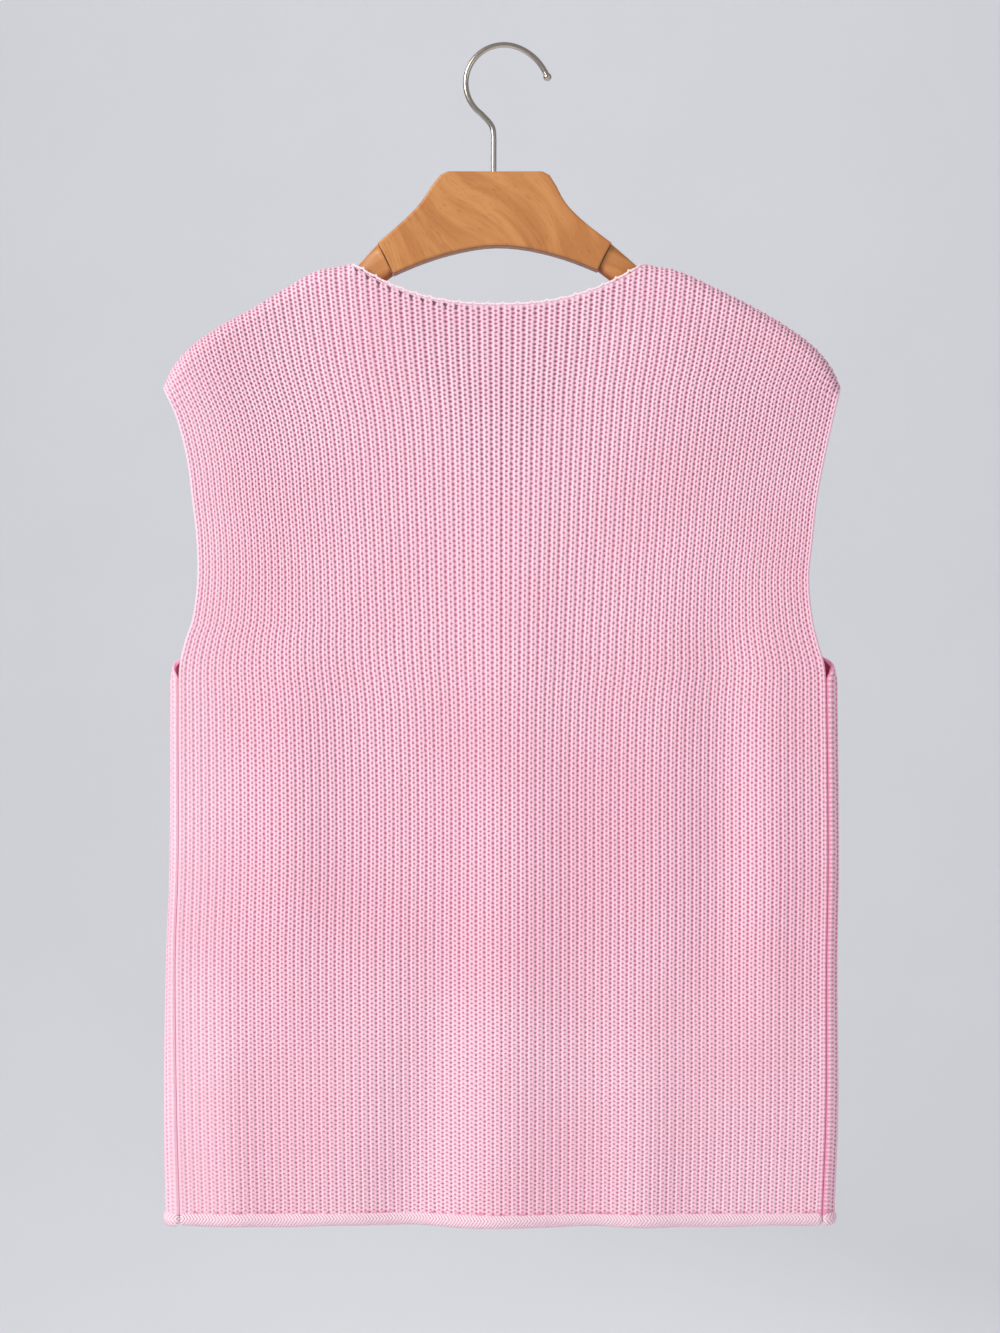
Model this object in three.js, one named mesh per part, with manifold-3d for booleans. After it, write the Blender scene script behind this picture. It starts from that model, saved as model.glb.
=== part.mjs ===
import * as THREE from 'three';
import { mergeVertices } from 'three/addons/utils/BufferGeometryUtils.js';
import Module from 'manifold-3d';

// A sleeveless vest in chunky rib knit, hung on a wooden coat hanger with a wire hook.
// Millimetres, +Z up. The back panel faces -Y and the front panel faces +Y.
// The origin is the inside of the hook's crook, and a drop is a height measured down from it.

// Cloth
const SEAM_GAP = 0.3;
const WALL = 2.2;
const RIBS = 80;
const RIB_RELIEF = 1.1;
const CENTRE_X = -1.5;
const HEM_DROP = 789.5;
const HEM_HEIGHT = 9.5;
const HEM_DEPTH = 5.2;
const NECK_CORD = 2.2;
const NECK_GAP = 0.5;
const NECK = { centre: -4, halfWidth: 100.5, drop: 148, backDepth: 29, frontDepth: 94, power: 2.4 };
const ROLL = 9;
const ROLL_MOST = 19;
const ARMHOLE = { openDrop: 396, closedDrop: 424, setIn: 2.5 };

// Hanger
const WOOD_DEPTH = 13;
const WOOD_BEVEL = 1.6;
const ARM_HEIGHT = 22;
const ARM_CLEARANCE = 0.9;
const WIRE = 3.8;
const BALL = 5.6;
const CROOK = { radius: 26, openRadius: 29.8, centreDrop: 24, ballAngle: 8, openAngle: 70,
  leaveAngle: 233 };
const STEM = { x: -7, bendDrop: 58.5, plateDrop: 84.5, depth: 22 };
const PLATE_CORNER = 5;
const JOINT = { drop: 133.5, left: { x: -75, drop: 155 }, right: { x: 63.5, drop: 152 } };
const ARCH = { x: -3, drop: 135.5, rise: 0.0106, power: 1.755 };
const HANGER_X = -4.5;
const ARM = [
  { reach: 92, halfHeight: 9.5, halfDepth: 5.6 },
  { reach: 105, halfHeight: 9.8, halfDepth: 5.8 },
  { reach: 125, halfHeight: 11, halfDepth: 7 },
  { reach: 155, halfHeight: 11, halfDepth: 7.8 },
  { reach: 180, halfHeight: 11, halfDepth: 8.8 },
  { reach: 193, halfHeight: 10.2, halfDepth: 8.8 },
  { reach: 200, halfHeight: 8, halfDepth: 7.4 },
  { reach: 204, halfHeight: 4.6, halfDepth: 4.4 },
];

// The line over which the cloth turns: the hanger's top, and the shoulders down to their tips.
const RIDGE = [
  { drop: 85, left: -43, right: 31 },
  { drop: 109, left: -59, right: 44 },
  { drop: 132, left: -84, right: 71 },
  { drop: 148, left: -104.5, right: 96.5 },
  { drop: 152.5, left: -126, right: 117 },
  { drop: 164.5, left: -148, right: 143.5 },
  { drop: 178.5, left: -171, right: 171 },
  { drop: 192, left: -195, right: 193.5 },
  { drop: 205.5, left: -213, right: 211 },
  { drop: 219, left: -224.5, right: 222 },
  { drop: 232.5, left: -230.5, right: 228 },
];

// Side edges of the panels. The rows above the shoulder tips only steer the ribs, which fan out.
// The turn is how far the front reaches out past the flat stretch as it goes round the side.
const SIDES = [
  { drop: 148, left: -255.5, right: 252.5, turnLeft: 5, turnRight: 7 },
  { drop: 171.5, left: -251, right: 248, turnLeft: 5, turnRight: 7 },
  { drop: 198.5, left: -243.5, right: 240.5, turnLeft: 5, turnRight: 7 },
  { drop: 219, left: -236.5, right: 233.5, turnLeft: 5, turnRight: 7 },
  { drop: 232.5, left: -230.5, right: 228, turnLeft: 5, turnRight: 7 },
  { drop: 253, left: -221.5, right: 223, turnLeft: 5, turnRight: 7 },
  { drop: 280.5, left: -214.5, right: 217, turnLeft: 5, turnRight: 7 },
  { drop: 307.5, left: -211, right: 212, turnLeft: 5, turnRight: 7 },
  { drop: 334.5, left: -208, right: 209, turnLeft: 5, turnRight: 7 },
  { drop: 362, left: -207.5, right: 206.5, turnLeft: 5, turnRight: 7 },
  { drop: 389, left: -211, right: 209, turnLeft: 5, turnRight: 7 },
  { drop: 404, left: -216, right: 212.5, turnLeft: 5, turnRight: 7 },
  { drop: 422, left: -220, right: 217.5, turnLeft: 5, turnRight: 7 },
  { drop: 443.5, left: -220.5, right: 218.5, turnLeft: 5, turnRight: 7 },
  { drop: 552.5, left: -220.5, right: 219.5, turnLeft: 5.5, turnRight: 7 },
  { drop: 620.5, left: -222.5, right: 218.5, turnLeft: 6, turnRight: 7 },
  { drop: 722.5, left: -221.5, right: 218, turnLeft: 8.5, turnRight: 8 },
  { drop: 789.5, left: -219.5, right: 215.5, turnLeft: 9.5, turnRight: 8 },
];

// Half the distance between the back and the front, and how much wider the ribs are in the middle.
const FORM = [
  { drop: 148, middle: 9.6, side: 9.6, bell: 0.2 },
  { drop: 232.5, middle: 10, side: 8, bell: 0.2 },
  { drop: 362, middle: 9.5, side: 7.5, bell: 0.19 },
  { drop: 450, middle: 9, side: 7.5, bell: 0.05 },
  { drop: 620, middle: 9, side: 7.5, bell: 0.03 },
  { drop: 789.5, middle: 9.5, side: 8, bell: 0.03 },
];
const ARM_END = { x: 200, drop: 214, push: 2.6, reach: 38 };

// Soft folds: a line through three places, how far it stands out and its half width.
const BACK_FOLDS = [
  { topX: 7, topDrop: 320, midX: -9.5, midDrop: 552, lowX: -27, lowDrop: 800, out: 2.6, width: 24 },
  { topX: 33, topDrop: 480, midX: 41, midDrop: 620, lowX: 24, lowDrop: 800, out: -2.8, width: 20 },
  { topX: -127, topDrop: 430, midX: -118, midDrop: 552, lowX: -108, lowDrop: 665, out: -2.4, width: 24 },
  { topX: -172, topDrop: 370, midX: -174, midDrop: 470, lowX: -170, lowDrop: 560, out: 1.8, width: 22 },
  { topX: -60, topDrop: 690, midX: -82, midDrop: 748, lowX: -103, lowDrop: 800, out: -2.4, width: 13 },
  { topX: 124, topDrop: 380, midX: 133, midDrop: 505, lowX: 141, lowDrop: 600, out: -2.4, width: 20 },
  { topX: 152, topDrop: 340, midX: 166, midDrop: 520, lowX: 160, lowDrop: 700, out: 2.2, width: 18 },
];
const FRONT_FOLDS = [
  { topX: -30, topDrop: 300, midX: -18, midDrop: 540, lowX: -6, lowDrop: 800, out: 2.6, width: 24 },
  { topX: 34, topDrop: 430, midX: 46, midDrop: 600, lowX: 52, lowDrop: 800, out: -2.6, width: 22 },
  { topX: -112, topDrop: 400, midX: -104, midDrop: 560, lowX: -92, lowDrop: 720, out: -2.4, width: 22 },
  { topX: 128, topDrop: 360, midX: 140, midDrop: 500, lowX: 146, lowDrop: 650, out: 2.2, width: 20 },
  { topX: -158, topDrop: 350, midX: -166, midDrop: 500, lowX: -160, lowDrop: 640, out: 2, width: 20 },
];

// Rows of a panel: fixed drops, then angles of the turn over the shoulder.
const LOWER_ROWS = [HEM_DROP, 740, 640, 540, 445, 424, 410, 396, 372, 320, 262];
const ROLL_ANGLES = [0, 30, 60, 90];
const OUTER_COLUMNS = 2 * RIBS;
const NORMAL_STEP = 0.004;
const INNER_STEP = { middle: 4, side: 2, sideColumns: 12, neckColumns: 3 };
const HEM_STEPS = 52;
const HEM_SIDES = 8;
const HEM_CROWDING = 0.2;
const NECK_STEPS = 26;
const NECK_SIDES = 6;
const ARCH_STEPS = 8;
const ARM_SIDES = 14;
const ARM_SQUARENESS = 2.4;
const CROOK_STEPS = 16;
const WIRE_STEPS = 54;

// Finishes
const YARN = '#f5b5cb';
const YARN_ROUGHNESS = 0.9;
const WOOD = '#d08a4c';
const WOOD_ROUGHNESS = 0.45;
const STEEL = '#b8b4ae';
const STEEL_ROUGHNESS = 0.3;

const BACK = -1;
const FRONT = 1;
const { clamp, degToRad, smoothstep } = THREE.MathUtils;

// Smooth value of one column of a table where another of its columns holds a given value.
function read(table, by, at, column) {
  const rising = table[1][by] > table[0][by] ? 1 : -1;
  const passed = table.slice(1, -1).filter((row) => (at - row[by]) * rising > 0).length;
  const low = table[passed];
  const high = table[passed + 1];
  const slope = (index) => {
    const before = table[Math.max(index - 1, 0)];
    const after = table[Math.min(index + 1, table.length - 1)];
    return (after[column] - before[column]) / (after[by] - before[by]);
  };
  const run = high[by] - low[by];
  const u = clamp((at - low[by]) / run, 0, 1);
  const bend = run * ((u ** 3 - 2 * u ** 2 + u) * slope(passed) + (u ** 3 - u ** 2) * slope(passed + 1));
  return low[column] + (3 * u ** 2 - 2 * u ** 3) * (high[column] - low[column]) + bend;
}

function ridgeDrop(x) {
  const side = x < CENTRE_X ? 'left' : 'right';
  return read(RIDGE, side, x, 'drop');
}

// How far below the ridge the cloth is at its full depth: more where the ridge is steep.
function rollReach(x) {
  const rise = ridgeDrop(x + 1) - ridgeDrop(x - 1);
  return Math.min(ROLL * Math.hypot(1, rise / 2), ROLL_MOST);
}

function neckDrop(panel, x) {
  const u = Math.min(Math.abs(x - NECK.centre) / NECK.halfWidth, 1);
  const depth = panel === BACK ? NECK.backDepth : NECK.frontDepth;
  return NECK.drop + depth * (1 - u ** NECK.power);
}

function topDrop(panel, x) {
  const inNeck = Math.abs(x - NECK.centre) < NECK.halfWidth;
  return inNeck ? neckDrop(panel, x) : ridgeDrop(x);
}

// Distance of the wall's middle from the plane between the panels, without the folds.
function halfDepth(x, drop) {
  const middle = read(FORM, 'drop', drop, 'middle');
  const side = read(FORM, 'drop', drop, 'side');
  const reach = clamp(Math.abs(x - CENTRE_X) / read(SIDES, 'drop', drop, 'right'), 0, 1);
  const away = Math.hypot(Math.abs(x - CENTRE_X) - ARM_END.x, drop - ARM_END.drop) / ARM_END.reach;
  return middle + (side - middle) * reach ** 3 + ARM_END.push * Math.exp(-(away ** 2));
}

// Share of the full depth: a quarter turn over the ridge.
function rollShare(x, drop) {
  const reach = rollReach(x);
  const up = clamp((ridgeDrop(x) + reach - drop) / reach, 0, 1);
  return Math.sqrt(1 - up ** 2);
}

// Folds swell and fade along their line, and fade out towards the sides.
function foldHeight(folds, x, drop) {
  return folds.reduce((sum, fold) => {
    const rise = (drop - fold.topDrop) / (fold.lowDrop - fold.topDrop);
    if (rise <= 0 || rise >= 1) return sum;
    const bow = fold.midX - (fold.topX + fold.lowX) / 2;
    const line = fold.topX + (fold.lowX - fold.topX) * rise + 4 * bow * rise * (1 - rise);
    const open = fold.lowDrop > HEM_DROP ? Math.sin(rise * Math.PI / 2) : Math.sin(rise * Math.PI);
    return sum + fold.out * open * Math.exp(-(((x - line) / fold.width) ** 2));
  }, 0);
}

// Share of the half width at a rib's place in the count: ribs in the middle are wider.
function fan(t, bell) {
  const bulge = 35 / 16 * (t - t ** 3 + 3 * t ** 5 / 5 - t ** 7 / 7);
  return (1 - bell) * t + bell * bulge;
}

// A point of a panel's middle surface, at a rib place t from -1 to 1 and a drop.
// Past the flat stretch the front follows a half ellipse round the side of the garment.
function panelPoint(panel, t, drop) {
  const sideName = t < 0 ? 'left' : 'right';
  const turnName = t < 0 ? 'turnLeft' : 'turnRight';
  const way = Math.sign(t) || 1;
  const closed = smoothstep(drop, ARMHOLE.openDrop, ARMHOLE.closedDrop);
  const wrap = panel === FRONT ? closed : 0;
  const openEdge = panel === FRONT ? ARMHOLE.setIn * (1 - closed) * armholeShare(drop) : 0;
  const joined = panel === BACK ? SEAM_GAP * closed : 0;
  const edge = Math.abs(read(SIDES, 'drop', drop, sideName) - CENTRE_X) - openEdge - joined;
  const turn = read(SIDES, 'drop', drop, turnName);
  const depth = halfDepth(CENTRE_X + way * edge, drop);
  const turnLength = Math.PI * Math.hypot(turn, depth) / Math.SQRT2;
  const run = (edge + turnLength * wrap) * Math.abs(fan(t, read(FORM, 'drop', drop, 'bell')));
  if (wrap > 0 && run > edge) {
    const angle = Math.PI * (0.5 - (run - edge) / turnLength);
    const reach = way * (edge + turn * Math.cos(angle));
    return new THREE.Vector3(CENTRE_X + reach, depth * Math.sin(angle), -drop);
  }
  const x = CENTRE_X + way * run;
  const folds = panel === BACK ? BACK_FOLDS : FRONT_FOLDS;
  const calm = 1 - (run / edge) ** 8;
  const out = halfDepth(x, drop) + foldHeight(folds, x, drop) * calm;
  return new THREE.Vector3(x, panel * (out * rollShare(x, drop) + SEAM_GAP / 2), -drop);
}

// The front's armhole edge lies a little inside the back's, but the edges meet at the tip.
function armholeShare(drop) {
  const tip = RIDGE[RIDGE.length - 1].drop;
  return clamp((drop - tip) / (LOWER_ROWS[LOWER_ROWS.length - 1] - tip), 0, 1);
}

// The drop at which a rib reaches the shoulder or the neckline.
function endDrop(panel, t) {
  let low = RIDGE[0].drop;
  let high = LOWER_ROWS[LOWER_ROWS.length - 1];
  for (let pass = 0; pass < 40; pass += 1) {
    const middle = (low + high) / 2;
    const above = middle < topDrop(panel, ribX(t, middle));
    if (above) low = middle;
    else high = middle;
  }
  return (low + high) / 2;
}

function ribX(t, drop) {
  const side = t < 0 ? 'left' : 'right';
  const edge = Math.abs(read(SIDES, 'drop', drop, side) - CENTRE_X);
  return CENTRE_X + edge * fan(t, read(FORM, 'drop', drop, 'bell'));
}

// The drops of all rows of one rib, from the hem up.
function rowDrops(panel, t) {
  const end = endDrop(panel, t);
  const roll = rollReach(ribX(t, end));
  const over = ROLL_ANGLES.map((angle) => end + roll * (1 - Math.sin(degToRad(angle))));
  return [...LOWER_ROWS, ...over];
}

// Direction of a rib at its upper end, which lies level where it has turned over the ridge.
function endTangent(panel, point) {
  const drop = -point.z;
  const share = rollShare(point.x, drop);
  const level = Math.sqrt(1 - share ** 2) * halfDepth(point.x, drop);
  return new THREE.Vector3(0, -panel * level, rollReach(point.x) * share);
}

// Middle points of a panel with their outward normals, one list of rows for each rib place.
function panelGrid(panel, places, rowsOf) {
  const column = (t) => rowsOf(t).map((drop) => panelPoint(panel, t, drop));
  return places.map((t) => {
    const points = column(t);
    const before = column(t - NORMAL_STEP);
    const after = column(t + NORMAL_STEP);
    return points.map((point, j) => {
      const last = j === points.length - 1;
      const below = points[Math.max(j - 1, 0)];
      const along = last ? endTangent(panel, point) : points[j + 1].clone().sub(below);
      const across = after[j].clone().sub(before[j]);
      return { point, normal: across.cross(along).normalize().multiplyScalar(-panel) };
    });
  });
}

function moved(place, distance) {
  return place.point.clone().addScaledVector(place.normal, distance);
}

// Collects corner points and triangles and turns them into a closed geometry facing out.
function closedGeometry(points, triangles) {
  const corners = triangles.flat();
  const volume = triangles.reduce((sum, [a, b, c]) => (
    sum + points[a].dot(points[b].clone().cross(points[c]))), 0);
  if (volume < 0) corners.reverse();
  const geometry = new THREE.BufferGeometry();
  geometry.setAttribute('position', new THREE.Float32BufferAttribute(points.flatMap((p) => p.toArray()), 3));
  geometry.setIndex(corners);
  geometry.computeVertexNormals();
  return geometry;
}

function quad(a, b, c, d) {
  return [[a, b, c], [a, c, d]];
}

// Columns of the plain inner side: few in the middle, more where the cloth turns at the sides,
// and all of them beside the ends of the neckline.
function innerColumns(grid) {
  const inNeck = grid.map((column) => (
    Math.abs(column[column.length - 1].point.x - NECK.centre) < NECK.halfWidth));
  const step = (i) => {
    const near = inNeck.slice(Math.max(i - INNER_STEP.neckColumns, 0), i + INNER_STEP.neckColumns + 1);
    if (near.includes(true) && near.includes(false)) return 1;
    const fromSide = Math.min(i, OUTER_COLUMNS - i);
    return fromSide < INNER_STEP.sideColumns ? INNER_STEP.side : INNER_STEP.middle;
  };
  return grid.map((_, i) => i).filter((i) => i % step(i) === 0);
}

// A panel: ribs stand on the outside, one crest and one valley each, and the inside is plain.
function panelGeometry(panel) {
  const places = Array.from({ length: OUTER_COLUMNS + 1 }, (_, i) => i / RIBS - 1);
  const grid = panelGrid(panel, places, (t) => rowDrops(panel, t));
  const rows = grid[0].length;
  const inner = innerColumns(grid);
  const outerPoints = grid.flatMap((column, i) => (
    column.map((place) => moved(place, WALL / 2 + RIB_RELIEF * (i % 2 - 0.5)))));
  const innerPoints = inner.flatMap((i) => grid[i].map((place) => moved(place, -WALL / 2)));
  const outside = (i, j) => i * rows + j;
  const inside = (k, j) => outerPoints.length + k * rows + j;
  const triangles = [];
  for (let j = 0; j < rows - 1; j += 1) {
    for (let i = 0; i < OUTER_COLUMNS; i += 1) {
      triangles.push(...quad(outside(i, j), outside(i + 1, j), outside(i + 1, j + 1), outside(i, j + 1)));
    }
    for (let k = 0; k < inner.length - 1; k += 1) {
      triangles.push(...quad(inside(k, j), inside(k, j + 1), inside(k + 1, j + 1), inside(k + 1, j)));
    }
    const end = inner.length - 1;
    triangles.push(...quad(outside(0, j), outside(0, j + 1), inside(0, j + 1), inside(0, j)));
    triangles.push(...quad(outside(OUTER_COLUMNS, j), inside(end, j), inside(end, j + 1),
      outside(OUTER_COLUMNS, j + 1)));
  }
  for (let k = 0; k < inner.length - 1; k += 1) {
    const half = Math.ceil((inner[k] + inner[k + 1]) / 2);
    for (let i = inner[k]; i < inner[k + 1]; i += 1) {
      const near = i < half ? k : k + 1;
      triangles.push([outside(i, 0), inside(near, 0), outside(i + 1, 0)]);
      triangles.push([outside(i, rows - 1), outside(i + 1, rows - 1), inside(near, rows - 1)]);
    }
    triangles.push([outside(half, 0), inside(k, 0), inside(k + 1, 0)]);
    triangles.push([outside(half, rows - 1), inside(k + 1, rows - 1), inside(k, rows - 1)]);
  }
  return closedGeometry([...outerPoints, ...innerPoints], triangles);
}

// A solid through rings of points: closed on itself, or with its ends filled.
function ringGeometry(rings, closed) {
  const sides = rings[0].length;
  const points = rings.flat();
  const triangles = [];
  const spans = closed ? rings.length : rings.length - 1;
  for (let i = 0; i < spans; i += 1) {
    const next = (i + 1) % rings.length;
    for (let k = 0; k < sides; k += 1) {
      const side = (k + 1) % sides;
      triangles.push(...quad(i * sides + k, i * sides + side, next * sides + side, next * sides + k));
    }
  }
  if (!closed) {
    const last = (rings.length - 1) * sides;
    for (let k = 1; k < sides - 1; k += 1) {
      triangles.push([0, k + 1, k], [last, last + k, last + k + 1]);
    }
  }
  return closedGeometry(points, triangles);
}

// An oval or rounded ring about a centre, in the plane of two directions.
function ring(centre, sideways, upwards, halfWidth, halfHeight, sides, squareness = 2) {
  const round = (value) => Math.sign(value) * Math.abs(value) ** (2 / squareness);
  return Array.from({ length: sides }, (_, k) => {
    const angle = 2 * Math.PI * (k + 0.5) / sides;
    return centre.clone()
      .addScaledVector(sideways, halfWidth * round(Math.cos(angle)))
      .addScaledVector(upwards, halfHeight * round(Math.sin(angle)));
  });
}

// The rolled band at the foot of a panel, which follows its cloth along the hem.
function hemGeometry(panel) {
  const places = Array.from({ length: HEM_STEPS + 1 }, (_, i) => {
    const u = 2 * i / HEM_STEPS - 1;
    return u + HEM_CROWDING * Math.sin(Math.PI * u);
  });
  const grid = panelGrid(panel, places, () => [HEM_DROP, LOWER_ROWS[1]]);
  const up = new THREE.Vector3(0, 0, 1);
  const rings = grid.map(([place]) => {
    const centre = place.point.clone().addScaledVector(up, -SEAM_GAP - HEM_HEIGHT / 2);
    return ring(centre, place.normal, up, HEM_DEPTH / 2, HEM_HEIGHT / 2, HEM_SIDES);
  });
  return ringGeometry(rings, false);
}

// The chain of yarn that closes the neckline, once round over both panels.
function neckGeometry() {
  const edge = [BACK, FRONT].flatMap((panel) => Array.from({ length: NECK_STEPS }, (_, i) => {
    const x = NECK.centre + panel * NECK.halfWidth * Math.cos(Math.PI * (i + 0.5) / NECK_STEPS);
    const drop = neckDrop(panel, x);
    const share = rollShare(x, drop);
    const depth = halfDepth(x, drop);
    const point = new THREE.Vector3(x, panel * (depth * share + SEAM_GAP / 2), -drop);
    const level = Math.sqrt(1 - share ** 2) * depth;
    return { point, normal: new THREE.Vector3(0, panel * share * rollReach(x), level).normalize() };
  }));
  const rings = edge.map(({ point, normal }, i) => {
    const before = edge[(i + edge.length - 1) % edge.length].point;
    const after = edge[(i + 1) % edge.length].point;
    const away = normal.clone().cross(after.clone().sub(before).normalize()).normalize();
    const centre = point.clone().addScaledVector(away, NECK_GAP + NECK_CORD / 2);
    return ring(centre, normal, away, NECK_CORD / 2, NECK_CORD / 2, NECK_SIDES);
  });
  return ringGeometry(rings, true);
}

const wasm = await Module();
wasm.setup();

function solid(geometry) {
  const bare = geometry.clone();
  bare.deleteAttribute('normal');
  bare.deleteAttribute('uv');
  const merged = mergeVertices(bare);
  const vertProperties = Float32Array.from(merged.attributes.position.array);
  const triVerts = Uint32Array.from(merged.index.array);
  return new wasm.Manifold(new wasm.Mesh({ numProp: 3, vertProperties, triVerts }));
}

function fromSolid(manifold) {
  const mesh = manifold.getMesh();
  const geometry = new THREE.BufferGeometry();
  geometry.setAttribute('position', new THREE.BufferAttribute(mesh.vertProperties, 3));
  geometry.setIndex(Array.from(mesh.triVerts));
  geometry.computeVertexNormals();
  return geometry;
}

// Middle of the hanger: a flat plate for the hook, hollow flanks and an arch below.
function hangerCentreGeometry() {
  const flank = (side, drop) => new THREE.Vector2(read(RIDGE, 'drop', drop, side), -drop);
  const drops = [95, 102, 109, 117, 125, JOINT.drop];
  const topDropHere = RIDGE[0].drop;
  const left = flank('left', topDropHere);
  const right = flank('right', topDropHere);
  const outline = new THREE.Shape();
  outline.moveTo(left.x + PLATE_CORNER, left.y);
  outline.lineTo(right.x - PLATE_CORNER, right.y);
  outline.quadraticCurveTo(right.x, right.y, flank('right', drops[0]).x, -drops[0]);
  outline.splineThru(drops.slice(1).map((drop) => flank('right', drop)));
  const arch = Array.from({ length: ARCH_STEPS + 1 }, (_, i) => {
    const x = THREE.MathUtils.lerp(JOINT.right.x, JOINT.left.x, i / ARCH_STEPS);
    return new THREE.Vector2(x, -(ARCH.drop + ARCH.rise * Math.abs(x - ARCH.x) ** ARCH.power));
  });
  outline.lineTo(arch[0].x, arch[0].y);
  outline.splineThru(arch.slice(1));
  outline.lineTo(flank('left', JOINT.drop).x, -JOINT.drop);
  outline.splineThru(drops.slice(0, -1).reverse().map((drop) => flank('left', drop)));
  outline.quadraticCurveTo(left.x, left.y, left.x + PLATE_CORNER, left.y);
  const plate = new THREE.ExtrudeGeometry(outline, {
    depth: WOOD_DEPTH - 2 * WOOD_BEVEL, curveSegments: 2,
    bevelThickness: WOOD_BEVEL, bevelSize: WOOD_BEVEL, bevelOffset: -WOOD_BEVEL, bevelSegments: 2,
  });
  plate.translate(0, 0, WOOD_BEVEL - WOOD_DEPTH / 2);
  plate.rotateX(Math.PI / 2);
  const hole = new THREE.CylinderGeometry(WIRE / 2 + SEAM_GAP, WIRE / 2 + SEAM_GAP, 2 * STEM.depth, 16);
  hole.rotateX(Math.PI / 2);
  hole.translate(STEM.x, 0, -STEM.plateDrop - SEAM_GAP);
  return fromSolid(solid(plate).subtract(solid(hole)));
}

// An arm of the hanger: glued to the middle on a slanting joint, round and thicker at its end.
function hangerArmGeometry(side) {
  const way = side === 'left' ? -1 : 1;
  const foot = new THREE.Vector3(JOINT[side].x, 0, -JOINT[side].drop);
  const head = new THREE.Vector3(read(RIDGE, 'drop', JOINT.drop, side), 0, -JOINT.drop);
  const depthwise = new THREE.Vector3(0, 1, 0);
  const jointUp = head.clone().sub(foot);
  const outward = depthwise.clone().cross(jointUp).normalize();
  if (outward.x * way < 0) outward.negate();
  const jointCentre = head.clone().add(foot).multiplyScalar(0.5).addScaledVector(outward, SEAM_GAP);
  const halfJoint = jointUp.length() / 2;
  const rings = [ring(jointCentre, depthwise, jointUp.normalize(), WOOD_DEPTH / 2, halfJoint,
    ARM_SIDES, ARM_SQUARENESS)];
  ARM.forEach(({ reach, halfHeight, halfDepth: half }) => {
    const x = HANGER_X + way * reach;
    const slope = (ridgeDrop(x + 1) - ridgeDrop(x - 1)) / 2;
    const up = new THREE.Vector3(slope, 0, 1).normalize();
    const below = (ARM_HEIGHT / 2 + WALL / 2 + ARM_CLEARANCE) * Math.hypot(1, slope);
    const centre = new THREE.Vector3(x, 0, -ridgeDrop(x) - below);
    rings.push(ring(centre, depthwise, up, half, halfHeight, ARM_SIDES, ARM_SQUARENESS));
  });
  return ringGeometry(rings, false);
}

// The wire hook: a ball at its end, a round crook that opens a little, and a straight stem.
function hookGeometry() {
  const angles = Array.from({ length: CROOK_STEPS + 1 }, (_, i) => (
    THREE.MathUtils.lerp(CROOK.ballAngle, CROOK.leaveAngle, i / CROOK_STEPS)));
  const route = angles.map((angle) => {
    const opening = Math.max(CROOK.openAngle - angle, 0) / (CROOK.openAngle - CROOK.ballAngle);
    const radius = CROOK.radius + (CROOK.openRadius - CROOK.radius) * opening ** 2;
    const turn = degToRad(angle);
    return new THREE.Vector3(radius * Math.cos(turn), 0, radius * Math.sin(turn) - CROOK.centreDrop);
  });
  const stem = [[-2.4, -7], [-0.5, -3], [0, 2], [0, 12], [0, 25]];
  stem.forEach(([x, drop]) => route.push(new THREE.Vector3(STEM.x + x, 0, -STEM.bendDrop - drop)));
  route.push(new THREE.Vector3(STEM.x, 0, -STEM.plateDrop - STEM.depth + SEAM_GAP));
  const section = new THREE.Shape();
  section.absarc(0, 0, WIRE / 2, 0, 2 * Math.PI);
  const path = new THREE.CatmullRomCurve3(route, false, 'centripetal');
  const wire = new THREE.ExtrudeGeometry(section, { extrudePath: path, steps: WIRE_STEPS, curveSegments: 4 });
  const ball = new THREE.SphereGeometry(BALL / 2, 12, 8);
  ball.translate(route[0].x, 0, route[0].z);
  return fromSolid(solid(wire).add(solid(ball)));
}

const group = new THREE.Group();

function add(name, geometry, color, roughness, metalness = 0) {
  const mesh = new THREE.Mesh(geometry, new THREE.MeshStandardMaterial({ color, roughness, metalness }));
  mesh.name = name;
  group.add(mesh);
}

add('back', panelGeometry(BACK), YARN, YARN_ROUGHNESS);
add('front', panelGeometry(FRONT), YARN, YARN_ROUGHNESS);
add('hem_back', hemGeometry(BACK), YARN, YARN_ROUGHNESS);
add('hem_front', hemGeometry(FRONT), YARN, YARN_ROUGHNESS);
add('neck_edge', neckGeometry(), YARN, YARN_ROUGHNESS);
add('hanger_centre', hangerCentreGeometry(), WOOD, WOOD_ROUGHNESS);
add('hanger_arm_left', hangerArmGeometry('left'), WOOD, WOOD_ROUGHNESS);
add('hanger_arm_right', hangerArmGeometry('right'), WOOD, WOOD_ROUGHNESS);
add('hanger_hook', hookGeometry(), STEEL, STEEL_ROUGHNESS, 1);

export default group;
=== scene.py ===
"""A sleeveless vest in chunky rib knit on a wooden coat hanger, seen from behind.

Tables and functions are in millimetres, and meshes and settings in metres. The back panel faces -Y.
The origin is the inside of the hook's crook, and a drop is a height measured down from it.
A rib place runs from -1 at a panel's left edge to 1 at its right edge.
"""

from types import SimpleNamespace

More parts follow.
